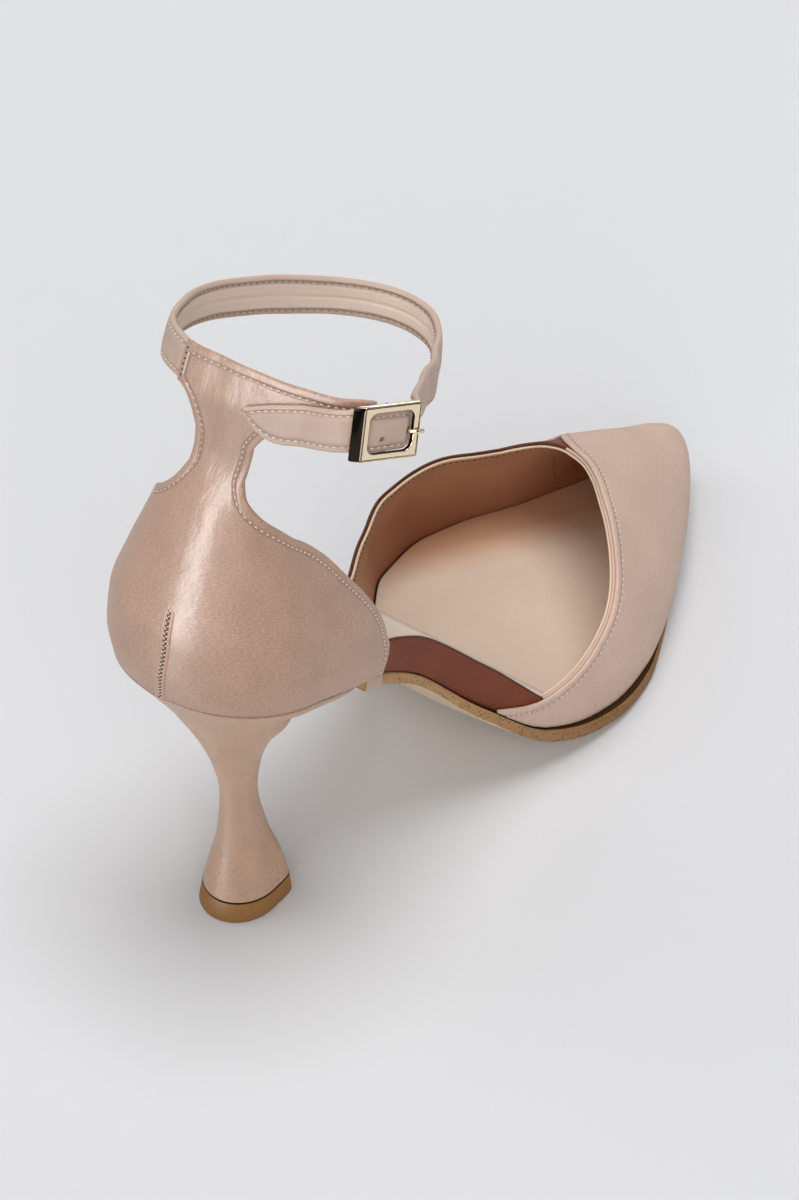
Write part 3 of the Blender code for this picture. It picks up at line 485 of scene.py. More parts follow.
def foot_point(run):
    """Points of the sole's edge at signed runs, with their outward directions."""
    lateral = run > 0
    side = np.where(lateral, -1.0, 1.0)
    size = np.abs(run)
    straight = size >= QUARTER
    x = HEEL_RADIUS + size - QUARTER
    angle = np.minimum(size, QUARTER) / HEEL_RADIUS
    wide = HEEL_RADIUS + (half_width(lateral, HEEL_RADIUS) - HEEL_RADIUS) * size / QUARTER
    px = np.where(straight, x, HEEL_RADIUS * (1 - np.cos(angle)))
    py = np.where(straight, side * half_width(lateral, np.maximum(x, HEEL_RADIUS)),
                  side * wide * np.sin(angle))
    out = np.stack((np.where(straight, 0, -np.cos(angle)),
                    np.where(straight, side, side * np.sin(angle))), axis=-1)
    return np.stack((px, py), axis=-1), out


def skin_point(run, height):
    """Outer face of the shoe at signed runs and heights."""
    run = np.asarray(run, float)
    height = np.asarray(height, float)
    foot, out = foot_point(run)
    lateral = run > 0
    back = out[..., 0] ** 2
    draw = read(HEEL_DRAW, 1, height) * back + read(HEEL_DRAW, 2, height) * (1 - back)
    share = ease(HEEL_WALL_END, LAST_WALL_START, foot[..., 0])
    top, middle, power = ridge(foot[..., 0])
    width = half_width(lateral, foot[..., 0]) - np.where(lateral, -1, 1) * middle
    fall = 1 - (1 - np.minimum(height / np.maximum(top, GAP), 1) ** power) ** (1 / power)
    wall = width * fall - swell(lateral, foot[..., 0], height)
    draw = draw * (1 - share) + share * wall
    point = foot - out * draw[..., None]
    result = np.concatenate((point, (sole_height(foot[..., 0]) + height)[..., None]), axis=-1)
    blend = ease(*RING_BLEND, height)[..., None]
    return result * (1 - blend) + blend * band_point(TAB_SHIFT + run * TAB_SCALE, height)


def section_point(x, turn):
    """Points of the last's sections; turn runs from the lateral edge over to the medial."""
    top, middle, power = ridge(x)
    lateral = turn < 90
    side = np.where(lateral, -1, 1)
    angle = np.radians(turn)
    across = np.abs(np.cos(angle)) ** (2 / power)
    height = top * np.maximum(np.sin(angle), 0) ** (2 / power)
    width = half_width(lateral, x) - side * middle
    y = middle + side * (width * across + swell(lateral, x, height))
    return np.stack((x, y, sole_height(x) + height), axis=-1)


def turn_of(x, height):
    top, _, power = ridge(x)
    return np.degrees(np.arcsin(np.minimum(height / np.maximum(top, GAP), 1) ** (power / 2)))


# ---- grids over the last ----

def wall_grid(side, first, last, step=WALL_STEP):
    """One side wall between two runs, as columns of points, with run and height as cloth."""
    table = LATERAL_TOPLINE if side > 0 else MEDIAL_TOPLINE
    runs = np.linspace(first, last, max(2, round(abs(last - first) / step)) + 1)
    share = np.linspace(0, 1, WALL_ROWS + 1)
    run, part = np.meshgrid(runs, share, indexing="ij")
    height = read(table, 1, run)
    lean = read(table, 2, run)
    at = (run - lean * (1 - part)) * side
    return skin_point(at, height * part), np.stack((at, height * part), axis=-1)


def back_grid():
    heights = np.concatenate((np.linspace(0, TAB_ROOT, WALL_ROWS + 1),
                              np.linspace(TAB_ROOT, WING_ROOT, NECK_ROWS + 1)[1:],
                              np.linspace(WING_ROOT, BAND_TOP, BAND_ROWS + 1)[1:]))
    run, height = np.meshgrid(np.linspace(-TAB_RUN, TAB_RUN, TAB_COLUMNS + 1), heights,
                              indexing="ij")
    return skin_point(run, height), np.stack((run, height), axis=-1)


def wing_grid(side, end):
    root = TAB_RUN * TAB_SCALE + side * TAB_SHIFT
    runs = np.linspace(root, end, max(4, round((end - root) / WING_STEP)) + 1)
    fillet = min(WING_FILLET, end - root)
    fall = np.maximum(0, 1 - (runs - root) / fillet)
    low = BAND_BOTTOM - (BAND_BOTTOM - WING_ROOT) * fall**FILLET_POWER
    share = np.linspace(0, 1, BAND_ROWS + 1)
    run, part = np.meshgrid(runs, share, indexing="ij")
    height = low[:, None] + (BAND_TOP - low[:, None]) * part
    across = side * (run - root + TAB_RUN)
    return band_point(side * run, height), np.stack((across, height), axis=-1)


def throat_rows():
    """Start of the toe's rows: x and turn of both junction ribs and of the throat between."""
    share = np.linspace(0, 1, WALL_ROWS + 1)
    ribs = []
    for table, lateral in ((LATERAL_TOPLINE, True), (MEDIAL_TOPLINE, False)):
        run, height, lean = table[-1]
        part = share if lateral else share[::-1]
        x = HEEL_RADIUS + run - lean * (1 - part) - QUARTER
        turn = turn_of(x, height * part)
        ribs.append(np.stack((x, turn if lateral else 180 - turn), axis=-1))
    start, end = ribs[0][-1], ribs[1][0]
    table = [(start[1], start[0]), *THROAT, (end[1], end[0])]
    turns = np.linspace(start[1], end[1], 400)
    line = section_point(read(table, 1, turns), turns)
    length = np.concatenate(((0,), np.cumsum(np.linalg.norm(np.diff(line, axis=0), axis=1))))
    inner = np.interp(np.linspace(0, length[-1], THROAT_ROWS + 1)[1:-1], length, turns)
    throat = np.stack((read(table, 1, inner), inner), axis=-1)
    return np.concatenate((ribs[0], throat, ribs[1]))


def toe_grid(setback):
    starts = throat_rows()
    share = np.repeat(np.linspace(0, 1, TOE_COLUMNS + 1)[:, None], len(starts), axis=1)
    if setback:
        share[0] = read(VAMP_SETBACK, 1, starts[:, 1])
        share[1:] = share[0] + (1 - share[0]) * share[1:]
    forward = 1 - (1 - share) ** TOE_CROWDING
    even = np.linspace(0, 180, len(starts))
    turn = starts[:, 1] + (even - starts[:, 1]) * ease(0, TOE_BLEND, share)
    x = starts[:, 0] + (SHOE_LENGTH - starts[:, 0]) * forward
    cloth = np.stack((x + TOE_CLOTH[0], turn * TOE_CLOTH[1]), axis=-1)
    return section_point(x, turn), cloth


def flip(grid):
    return tuple(part[::-1] for part in grid)


def counter_grids():
    return [flip(wall_grid(-1, TAB_RUN, COUNTER_END)), wall_grid(1, TAB_RUN, COUNTER_END),
            back_grid(), flip(wing_grid(-1, MEDIAL_WING)), wing_grid(1, LATERAL_WING)]


def upper_grids():
    return counter_grids() + [
        flip(wall_grid(-1, COUNTER_END, MEDIAL_TOPLINE[-1][0], MEDIAL_STEP)),
        wall_grid(1, COUNTER_END, LATERAL_TOPLINE[-1][0], LATERAL_STEP), toe_grid(False)]


class Sheet:
    """Grids welded into one open surface, with its normals, edge and distance to that edge."""

    def __init__(self, grids):
        points, cloth, quads, count = [], [], [], 0
        for place, weave in grids:
            rows, columns = place.shape[:2]
            index = np.arange(rows * columns).reshape(rows, columns) + count
            quads.append(np.stack((index[:-1, :-1], index[1:, :-1], index[1:, 1:],
                                   index[:-1, 1:]), axis=-1).reshape(-1, 4))
            points.append(place.reshape(-1, 3))
            cloth.append(weave.reshape(-1, 2))
            count += rows * columns
        points = np.concatenate(points)
        _, first, inverse = np.unique(np.round(points, 3), axis=0, return_index=True,
                                      return_inverse=True)
        self.points = points[first]
        self.cloth = np.concatenate(cloth)[first]
        self.faces = []
        for quad in inverse.reshape(-1)[np.concatenate(quads)]:
            face = list(dict.fromkeys(quad.tolist()))
            if len(face) > 2:
                self.faces.append(face)
        self.normals = self.find_normals()
        self.find_edges()

    def find_normals(self):
        total = np.zeros_like(self.points)
        for face in self.faces:
            corners = self.points[face]
            cross = np.cross(corners[2] - corners[0], corners[-1] - corners[1])
            total[face] += cross
        return unit(total)

    def find_edges(self):
        used = {(a, b) for face in self.faces for a, b in zip(face, face[1:] + face[:1])}
        self.rim = [edge for edge in used if (edge[1], edge[0]) not in used]
        self.foot = self.points[:, 2] - sole_height(self.points[:, 0]) < 1e-3
        open_rim = [(a, b) for a, b in self.rim if not (self.foot[a] and self.foot[b])]
        self.outward = np.zeros_like(self.points)
        for a, b in open_rim:
            along = self.points[b] - self.points[a]
            self.outward[[a, b]] += unit(np.cross(along, self.normals[a] + self.normals[b]))
        self.outward = unit(self.outward)
        tree = KDTree(len(open_rim) * 3)
        for k, (a, b) in enumerate(open_rim):
            for j in range(3):
                tree.insert(self.points[a] + (self.points[b] - self.points[a]) * j / 3, 3 * k + j)
        tree.balance()
        self.edge = np.array([tree.find(point)[2] for point in self.points])

    def layer(self, depth):
        """Points moved inward by a depth, one for all or one each."""
        moved = self.points - self.normals * np.broadcast_to(depth, self.edge.shape)[:, None]
        moved[self.foot, 2] = sole_height(moved[self.foot, 0]) + GAP / 2
        return moved

    def line_at(self, level):
        """Lines that keep one distance from the open edge: points with their normals."""
        ends = {}
        for face in self.faces:
            cuts = []
            for a, b in zip(face, face[1:] + face[:1]):
                da, db = self.edge[a] - level, self.edge[b] - level
                if (da < 0) != (db < 0):
                    cuts.append((min(a, b), max(a, b)))
            if len(cuts) == 2:
                ends.setdefault(cuts[0], []).append(cuts[1])
                ends.setdefault(cuts[1], []).append(cuts[0])
        lines = []
        left = set(ends)
        while left:
            start = next((key for key in sorted(left) if len(ends[key]) == 1), min(left))
            chain = [start]
            left.discard(start)
            while True:
                ahead = [key for key in ends[chain[-1]] if key in left]
                if not ahead:
                    break
                chain.append(ahead[0])
                left.discard(ahead[0])
            a, b = np.array(chain).T
            t = ((level - self.edge[a]) / (self.edge[b] - self.edge[a]))[:, None]
            lines.append((self.points[a] * (1 - t) + self.points[b] * t,
                          unit(self.normals[a] * (1 - t) + self.normals[b] * t)))
        return lines


# ---- making pieces ----

def place(points):
    points = np.asarray(points, float)
    return (points - (ORIGIN_X, 0, 0)) * MM


def finish(item, slot, *nodes):
    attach(item, BODY)
    if nodes:
        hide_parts(*nodes)
    return item


def add_piece(name, points, faces, materials, picks=None, **values):
    """A smooth mesh piece; picks gives each face's material, and values are point attributes."""
    mesh = bpy.data.meshes.new(name)
    mesh.from_pydata(place(points).tolist(), [], faces)
    for material in materials:
        mesh.materials.append(material)
    if picks is not None:
        mesh.polygons.foreach_set("material_index", picks)
    for key, value in values.items():
        value = np.asarray(value, float)
        if value.ndim == 1:
            mesh.attributes.new(key, "FLOAT", "POINT").data.foreach_set("value", value)
        else:
            flat = np.column_stack((value, np.zeros(len(value)))).reshape(-1)
            mesh.attributes.new(key, "FLOAT_VECTOR", "POINT").data.foreach_set("vector", flat)
    mesh.shade_smooth()
    return add_object(name, mesh)


def add_object(name, data):
    item = bpy.data.objects.new(name, data)
    bpy.context.scene.collection.objects.link(item)
    return item


def shell(name, sheet, depth, thickness, materials, rim_slot=0, reach=1.0):
    """Closed shell between two layers of a sheet, with a rounded rim of its own material."""
    count = len(sheet.points)
    rows = [sheet.layer(depth), sheet.layer(depth + thickness)]
    for share, out in RIM[:-1]:
        bulge = np.broadcast_to(out * reach * thickness, (count,))[:, None]
        rows.append(sheet.layer(depth + thickness * share) + sheet.outward * bulge)
    order = [0] + list(range(2, len(rows))) + [1]
    points = np.concatenate(rows)
    faces = [list(face) for face in sheet.faces]
    picks = [0] * len(faces)
    faces += [[vertex + count for vertex in reversed(face)] for face in sheet.faces]
    picks += [min(1, len(materials) - 1)] * len(sheet.faces)
    slots = np.broadcast_to(rim_slot, (count,))
    for a, b in sorted(sheet.rim):
        for low, high in zip(order, order[1:]):
            faces.append([b + low * count, a + low * count, a + high * count, b + high * count])
            picks.append(int(slots[a]))
    return add_piece(name, points, clean(faces, picks), materials, picks,
                     edge=np.tile(sheet.edge, len(rows)),
                     cloth=np.tile(sheet.cloth, (len(rows), 1)))


def clean(faces, picks):
    """Drop the faces whose corners meet, with their picks."""
    kept = [(f, p) for f, p in zip(faces, picks) if len(set(f)) == len(f)]
    picks[:] = [p for _, p in kept]
    return [f for f, _ in kept]


# ---- stitching ----

def stitch_unit():
    """One stitch: a six-sided thread along z from -0.5 to 0.5, thin where it enters the hide."""
    deselect()
    bpy.ops.mesh.primitive_circle_add(vertices=6, radius=0.25, fill_type="NGON",
                                      location=(0, 0, -0.5))
    edit_all()
    for rise, size in STITCH_STEPS:
        bpy.ops.mesh.extrude_region_move(TRANSFORM_OT_translate={"value": (0, 0, rise)})
        bpy.ops.transform.resize(value=(size, size, 1))
    end_edit()
    item = bpy.context.active_object
    points = np.array([vertex.co for vertex in item.data.vertices])
    faces = [list(polygon.vertices) for polygon in item.data.polygons]
    bpy.data.objects.remove(item)
    return points, faces


def even_points(line, normals, pitch):
    """Middles, directions and normals of stitches laid evenly along a line."""
    step = np.linalg.norm(np.diff(line, axis=0), axis=1)
    keep = np.concatenate(((True,), step > 1e-6))
    line, normals = line[keep], normals[keep]
    length = np.concatenate(((0,), np.cumsum(np.linalg.norm(np.diff(line, axis=0), axis=1))))
    count = int(length[-1] / pitch)
    if count < 1:
        return np.zeros((0, 3)), np.zeros((0, 3)), np.zeros((0, 3))
    at = (np.arange(count) + 0.5) * length[-1] / count

    def along(values, where):
        return np.stack([np.interp(where, length, values[:, c]) for c in range(3)], axis=-1)

    ahead = along(line, np.minimum(at + pitch / 3, length[-1]))
    behind = along(line, np.maximum(at - pitch / 3, 0))
    return along(line, at), unit(ahead - behind), unit(along(normals, at))


def zigzag_points(line, normals, pitch, width):
    """Middles, directions and normals of a zigzag laid along a line."""
    middle, forward, up = even_points(line, normals, pitch)
    turn = np.where(np.arange(len(middle)) % 2, 1.0, -1.0)[:, None]
    slant = unit(forward * pitch + unit(np.cross(up, forward)) * turn * width)
    return middle, slant, up


def add_stitches(name, rows, slot, material, length, width):
    """Rows of stitches as one piece; each row is their middles, directions and normals."""
    unit_points, unit_faces = stitch_unit()
    arch = 1 - (2 * unit_points[:, 2]) ** 2
    points, faces = [], []
    count = 0
    for row in rows:
        for middle, forward, normal in zip(*row):
            side = unit(np.cross(normal, forward))
            lift = width * (unit_points[:, 1] + STITCH_ARCH * arch - STITCH_SINK)
            points.append(middle + np.outer(unit_points[:, 2] * length, forward)
                          + np.outer(unit_points[:, 0] * width, side) + np.outer(lift, normal))
            faces += [[vertex + count for vertex in face] for face in unit_faces]
            count += len(unit_points)
    if not points:
        raise RuntimeError(name + " has no stitches")
    item = add_piece(name, np.concatenate(points), faces, [material])
    set_outward(item)
    return finish(item, slot)


# ---- Blender helpers ----

def deselect():
    if bpy.context.object and bpy.context.object.mode != "OBJECT":
        bpy.ops.object.mode_set(mode="OBJECT")
    bpy.ops.object.select_all(action="DESELECT")


def set_active(item):
    deselect()
    item.select_set(True)
    bpy.context.view_layer.objects.active = item


def edit_all():
    """Enter edit mode with everything selected."""
    bpy.ops.object.mode_set(mode="EDIT")
    bpy.ops.mesh.select_all(action="SELECT")


def end_edit():
    """Turn every face outward and leave edit mode."""
    bpy.ops.mesh.select_all(action="SELECT")
    bpy.ops.mesh.normals_make_consistent(inside=False)
    bpy.ops.object.mode_set(mode="OBJECT")


def rework(item, *steps):
    """Change a piece's mesh by steps that each take it as a bmesh."""
    work = bmesh.new()
    work.from_mesh(item.data)
    for step in steps:
        step(work)
    work.to_mesh(item.data)
    work.free()


def set_outward(item):
    """Turn every face of a closed mesh outward."""
    rework(item, lambda work: bmesh.ops.recalc_face_normals(work, faces=work.faces))


def merge_close(item, distance=1e-6):
    """Merge the points that meet and drop the faces that this leaves without width."""
    rework(item, lambda work: bmesh.ops.remove_doubles(work, verts=work.verts, dist=distance),
           lambda work: bmesh.ops.dissolve_degenerate(work, edges=work.edges, dist=distance))


def apply_modifier(item, kind, **settings):
    set_active(item)
    modifier = item.modifiers.new(kind, kind)
    for key, value in settings.items():
        setattr(modifier, key, value)
    bpy.ops.object.modifier_apply(modifier=modifier.name)


def cut_with(item, tool):
    """Cut a piece by a closed tool, and drop the tool."""
    apply_modifier(item, "BOOLEAN", object=tool, operation="DIFFERENCE", solver="EXACT")
    bpy.data.objects.remove(tool)


def set_materials(item, *materials):
    item.data.materials.clear()
    for material in materials:
        item.data.materials.append(material)


def apply_place(item):
    """Put an object's place into its mesh and leave the object at the origin."""
    item.data.transform(item.matrix_world)
    item.matrix_world = Matrix.Identity(4)


# ---- soles, heel and strap as lofts ----

def offset_plan(lateral, distance):
    """Edge of the sole moved outward by a distance, as x and y in order of x."""
    reach = math.sqrt(SHOE_LENGTH - HEEL_RADIUS)
    runs = np.concatenate((np.linspace(0, QUARTER, 40, endpoint=False),
                           QUARTER + SHOE_LENGTH - HEEL_RADIUS - np.linspace(reach, 0, 160) ** 2))
    side = 1 if lateral else -1
    feet = foot_point(np.maximum(runs, 1e-6) * side)[0]
    along = unit(np.gradient(feet, axis=0))
    out = np.stack((along[:, 1], -along[:, 0]), axis=-1) * side
    out[0] = (-1, 0)
    out[-1] = (1, 0)
    moved = feet + out * np.broadcast_to(distance(feet[:, 0]), len(feet))[:, None]
    return moved[np.argsort(moved[:, 0])]


def stations_between(start, end, count, at_tip):
    """Stations that crowd toward a blunt end: the last where at_tip is true, or the first."""
    quarter_turn = np.linspace(0, 1, count) * math.pi / 2
    return start + (end - start) * (np.sin(quarter_turn) if at_tip else 1 - np.cos(quarter_turn))


def loft(name, rings, materials, picks=None, tip=None, foot=None, **values):
    """Closed piece through rings of equal count, its ends flat or drawn to a point each.

    Picks gives the material of each face between two rings; both ends have the first one's.
    """
    rings = np.asarray(rings, float)
    count, size = rings.shape[:2]
    points = rings.reshape(-1, 3).tolist()
    index = np.arange(count * size).reshape(count, size)
    ahead = np.roll(index, -1, axis=1)
    faces = np.stack((index[:-1], ahead[:-1], ahead[1:], index[1:]), axis=-1).reshape(-1, 4)
    slots = np.zeros(len(faces), int) if picks is None else np.asarray(picks).reshape(-1)
    faces, slots = faces.tolist(), slots.tolist()
    for ring, point in ((index[0][::-1], foot), (index[-1], tip)):
        if point is None:
            faces.append(ring.tolist())
        else:
            pairs = zip(ring.tolist(), np.roll(ring, -1).tolist())
            faces += [[a, b, len(points)] for a, b in pairs]
            points.append(point)
    slots += [slots[0]] * (len(faces) - len(slots))
    ends = len(points) - count * size
    for key, value in values.items():
        flat = np.asarray(value, float).reshape(count * size, -1)
        values[key] = np.pad(flat, ((0, ends), (0, 0))).squeeze()
    item = add_piece(name, points, faces, materials, slots, **values)
    merge_close(item)
    set_outward(item)
    return item


def level_with(rise):
    """Face of a plate that keeps one rise over the sole's line."""
    return lambda x, shares: sole_height(x) + rise + 0 * shares


def plate_rings(stations, lateral, medial, top, under, across, rounding):
    """Cross-sections of a plate with rounded edges; top and under take x and share across."""
    shares = np.sin(np.linspace(-1, 1, across + 1) * math.pi / 2)
    rings = []
    for x in stations:
        low = np.interp(x, lateral[:, 0], lateral[:, 1])
        high = np.interp(x, medial[:, 0], medial[:, 1])
        middle, half = (low + high) / 2, (high - low) / 2
        trim = min(rounding, half * PLATE_TRIM)
        inner = half - trim
        up, down = top(x, shares), under(x, shares)
        thick = (up[0] - down[0]) / 2
        bend = np.linspace(0, math.pi, PLATE_ROUND + 2)[1:-1]
        centre = (up[0] + down[0]) / 2
        round_z = np.sign(np.cos(bend)) * np.abs(np.cos(bend)) ** PLATE_POWER * thick
        round_y = inner + trim * np.sin(bend) ** PLATE_POWER
        ys = np.concatenate((shares * inner, round_y, shares[::-1] * inner, -round_y[::-1]))
        zs = np.concatenate((up, centre + round_z, down[::-1], centre + round_z[::-1]))
        rings.append(np.column_stack((np.full(len(ys), x), middle + ys, zs)))
    return np.array(rings)


def heel_ring(row, level, top_share, tilt, count=96):
    """One ring of the heel: round at the back, squarer toward its breast."""
    back, middle, front, half, power = row
    angle = 2 * math.pi * np.arange(count) / count
    cos, sin = np.cos(angle), np.sin(angle)
    n = np.where(cos > 0, power, 2.0)
    reach = np.where(cos > 0, front - middle, middle - back)
    x = middle + reach * np.sign(cos) * np.abs(cos) ** (2 / n)
    width = half_width(sin <= 0, np.maximum(x, HEEL_RADIUS))
    wide = half + (width - half) * top_share
    y = wide * np.sign(sin) * np.abs(sin) ** (2 / n)
    slope = sole_height(x) - sole_height(HEEL_RADIUS)
    return np.stack((x, y, level + tilt * slope), axis=-1)


def buckle_axes():
    """Middle of the buckle on the ring, and its directions: along, outward and up."""
    up = unit(np.array(BUCKLE_UP))
    forward = unit(np.cross((0, 1, 0), up))
    lateral = np.cross(forward, up)
    along = forward * math.cos(BUCKLE_TURN) + lateral * math.sin(BUCKLE_TURN)
    centre = ring_point(BUCKLE_RUN) - up * BUCKLE_DROP
    return centre, along, np.cross(along, up), up


def at_buckle(along=0.0, rise=0.0, out=0.0):
    """Placing matrix at the buckle, moved in its own directions."""
    centre, forward, outward, up = buckle_axes()
    turn = Matrix([Vector(forward), Vector(up), Vector(outward)]).transposed().to_4x4()
    at = place(centre + forward * along + up * rise + outward * out)
    return Matrix.Translation(at) @ turn


def strap_frame(run):
    """Top edge of the strap's inner face, its outward and upward directions and its height."""
    out, up = ring_frame(run)
    top = ring_point(run) + out * read(STRAP_ROWS, 1, run) - up * read(STRAP_ROWS, 2, run)
    centre, along, face, rise = buckle_axes()
    past = run - BUCKLE_RUN
    share = 1 - ease(*STRAIGHT[int(past < 0)], abs(past))
    level = STRAP_LEVEL + STRAP_RISE * (1 - ease(*STRAP_DIP, abs(past)))
    width = read(STRAP_ROWS, 3, run)
    straight = centre + along * past + face * level + rise * (width / 2 + STRAP_LIFT)
    top = top * (1 - share) + straight * share
    out = unit(out * (1 - share) + face * share)
    up = unit(up * (1 - share) + rise * share)
    slant = TAIL_DEPTH * width * max(0, 1 - (run - TAIL_END) / TAIL_SLANT) ** TAIL_POWER
    return top, out, up, width - slant


# ---- shared effects, as node groups ----

class Tree:
    """Short calls for laying out a node tree."""

    def __init__(self, tree):
        self.tree = tree

    def feed(self, socket, value):
        """Link a socket to a value that is a socket itself, or set it."""
        if isinstance(value, bpy.types.NodeSocket):
            self.tree.links.new(value, socket)
        else:
            socket.default_value = value

    def add(self, kind, operation=None, **inputs):
        node = self.tree.nodes.new(kind)
        if operation:
            node.operation = operation
        for key, value in inputs.items():
            numbered = key[0] == "i" and key[1:].isdigit()
            self.feed(node.inputs[int(key[1:]) if numbered else key.replace("_", " ")], value)
        return node

    def math(self, operation, a, b=0.0):
        return self.add("ShaderNodeMath", operation, i0=a, i1=b).outputs[0]

    def span(self, value, low, high, start, end):
        node = self.add("ShaderNodeMapRange", Value=value, From_Min=low, From_Max=high,
                        To_Min=start, To_Max=end)
        return node.outputs[0]

    def mix(self, share, first, second):
        node = self.tree.nodes.new("ShaderNodeMix")
        node.data_type = "RGBA"
        for number, value in ((0, share), (6, first), (7, second)):
            self.feed(node.inputs[number], value)
        return node.outputs[2]

    def mottled(self, share, color, low, high):
        """A colour that changes with a mask from one share of itself to another."""
        return self.mix(share, shade(color, low), shade(color, high))

    def noise(self, vector, scale, detail):
        node = self.add("ShaderNodeTexNoise", Vector=vector, Scale=scale, Detail=detail)
        return node.outputs["Fac"]

    def attribute(self, name, output="Fac"):
        node = self.tree.nodes.new("ShaderNodeAttribute")
        node.attribute_name = name
        return node.outputs[output]

    def coordinates(self):
        return self.add("ShaderNodeTexCoord").outputs["Object"]


def make_group(name, inputs, outputs, build):
    """Node group with named sockets; build fills it from its tree, inputs and outputs."""
    if name in bpy.data.node_groups:
        return bpy.data.node_groups[name]
    group = bpy.data.node_groups.new(name, "ShaderNodeTree")
    for label, kind, value in inputs:
        socket = group.interface.new_socket(label, in_out="INPUT", socket_type=kind)
        if value is not None:
            socket.default_value = value
    for label in outputs:
        group.interface.new_socket(label, in_out="OUTPUT", socket_type=FLOAT)
    tree = Tree(group)
    source = group.nodes.new("NodeGroupInput")
    target = group.nodes.new("NodeGroupOutput")
    for label, result in build(tree, source.outputs).items():
        group.links.new(result, target.inputs[label])
    return group


def build_grain(tree, given):
    """Pores and fine folds of a finished hide."""
    warp = tree.noise(given["Vector"], given["Scale"], 3.0)
    cells = tree.add("ShaderNodeTexVoronoi", Vector=given["Vector"],
                     Scale=tree.math("MULTIPLY", given["Scale"], 2.2))
    cells.feature = "DISTANCE_TO_EDGE"
    soft = tree.span(cells.outputs["Distance"], 0, 0.35, 0, 1)
    height = tree.math("ADD", tree.math("MULTIPLY", soft, given["Pores"]),
                       tree.math("MULTIPLY", warp, given["Folds"]))
    broad = tree.noise(given["Vector"], tree.math("MULTIPLY", given["Scale"], 0.04), 4.0)
    return {"Height": height, "Mottle": tree.span(broad, 0.3, 0.7, 0, 1)}


def build_weave(tree, given):
    """Short floats of a satin, lying across it, with its lustre changing from thread to thread."""
    floats = tree.add("ShaderNodeVectorMath", "MULTIPLY", i0=given["Vector"], i1=(1.0, 3.2, 1.0))
    fine = tree.noise(floats.outputs[0], given["Threads"], 1.0)
    broad = tree.noise(given["Vector"], given["Slubs"], 3.0)
    tone = tree.math("ADD", tree.math("MULTIPLY", fine, 0.75),
                     tree.math("MULTIPLY", broad, 0.25))
    height = tree.math("ADD", fine, tree.math("MULTIPLY", broad, given["Folds"]))
    return {"Height": height, "Mottle": tree.span(tone, 0.3, 0.7, 0, 1)}


def build_speckle(tree, given):
    """Dark and pale grains of bonded leather and cork."""
    fine = tree.add("ShaderNodeTexVoronoi", Vector=given["Vector"], Scale=given["Scale"])
    coarse = tree.add("ShaderNodeTexVoronoi", Vector=given["Vector"],
                      Scale=tree.math("MULTIPLY", given["Scale"], 0.45))
    dark = tree.span(coarse.outputs["Distance"], 0.2, 0.36, 1, 0)
    rough = tree.noise(given["Vector"], given["Scale"], 5.0)
    return {"Dark": tree.math("MULTIPLY", dark, given["Amount"]),
            "Mottle": tree.span(fine.outputs["Distance"], 0, 0.9, 0, 1), "Height": rough}


def build_stitch_bed(tree, given):
    """Trough that the thread pulls into the hide along an edge; it is also the mask of the painted
    shade there.
    """
    away = tree.math("SUBTRACT", given["Edge"], given["Inset"])
    share = tree.math("DIVIDE", away, given["Width"])
    square = tree.math("MULTIPLY", share, share)
    return {"Trough": tree.math("EXPONENT", tree.math("MULTIPLY", square, -1.0))}


FLOAT, VECTOR = "NodeSocketFloat", "NodeSocketVector"
# Shared effects: their inputs and defaults, outputs and builder
GROUPS = {
    "Hide grain": ((("Vector", VECTOR, None), ("Scale", FLOAT, 900.0), ("Pores", FLOAT, 0.5),
                    ("Folds", FLOAT, 0.5)), ("Height", "Mottle"), build_grain),
    "Satin weave": ((("Vector", VECTOR, None), ("Threads", FLOAT, 1.4), ("Slubs", FLOAT, 0.12),
                     ("Folds", FLOAT, 6.0)), ("Height", "Mottle"), build_weave),
    "Bonded speckle": ((("Vector", VECTOR, None), ("Scale", FLOAT, 2200.0),
                        ("Amount", FLOAT, 0.8)), ("Dark", "Mottle", "Height"), build_speckle),
    "Stitch bed": ((("Edge", FLOAT, 10.0), ("Inset", FLOAT, 1.7), ("Width", FLOAT, 0.45)),
                   ("Trough",), build_stitch_bed),
}


def use_group(tree, name, **inputs):
    """A shared effect placed in a tree with its own values; gives its outputs."""
    node = tree.tree.nodes.new("ShaderNodeGroup")
    node.node_tree = make_group(name, *GROUPS[name])
    for key, value in inputs.items():
        tree.feed(node.inputs[key], value)
    return node.outputs


def shade(color, share):
    """A colour made darker, or paler past 1."""
    return tuple(min(1.0, part * share) for part in color[:3]) + (1.0,)


def deeper(color, shares):
    """A colour with each of its parts made darker by its own share."""
    return tuple(part * share for part, share in zip(color, shares))


def new_material(name, roughness, metallic=0.0, specular=0.5):
    material = bpy.data.materials.new(name)
    material.use_nodes = True
    shader = material.node_tree.nodes["Principled BSDF"]
    shader.inputs["Roughness"].default_value = roughness
    shader.inputs["Metallic"].default_value = metallic
    shader.inputs["Specular IOR Level"].default_value = specular
    return material, shader, Tree(material.node_tree)


def dress(tree, shader, tone, height, distance, strength=1.0):
    """Give a shader its colour, and its relief by a height."""
    tree.feed(shader.inputs["Base Color"], tone)
    node = tree.add("ShaderNodeBump", Height=height, Strength=strength, Distance=distance)
    tree.feed(shader.inputs["Normal"], node.outputs[0])


def sewn(tree, tone, height, color, inset, share, pull):
    """Colour and height with the trough of a seam along an edge; the colour is painted shade in
    the trough.
    """
    bed = use_group(tree, "Stitch bed", Edge=tree.attribute("edge"), Inset=inset)
    tone = tree.mix(tree.math("MULTIPLY", bed["Trough"], share), tone, shade(color, 0.35))
    return tone, tree.math("SUBTRACT", height, tree.math("MULTIPLY", bed["Trough"], pull))


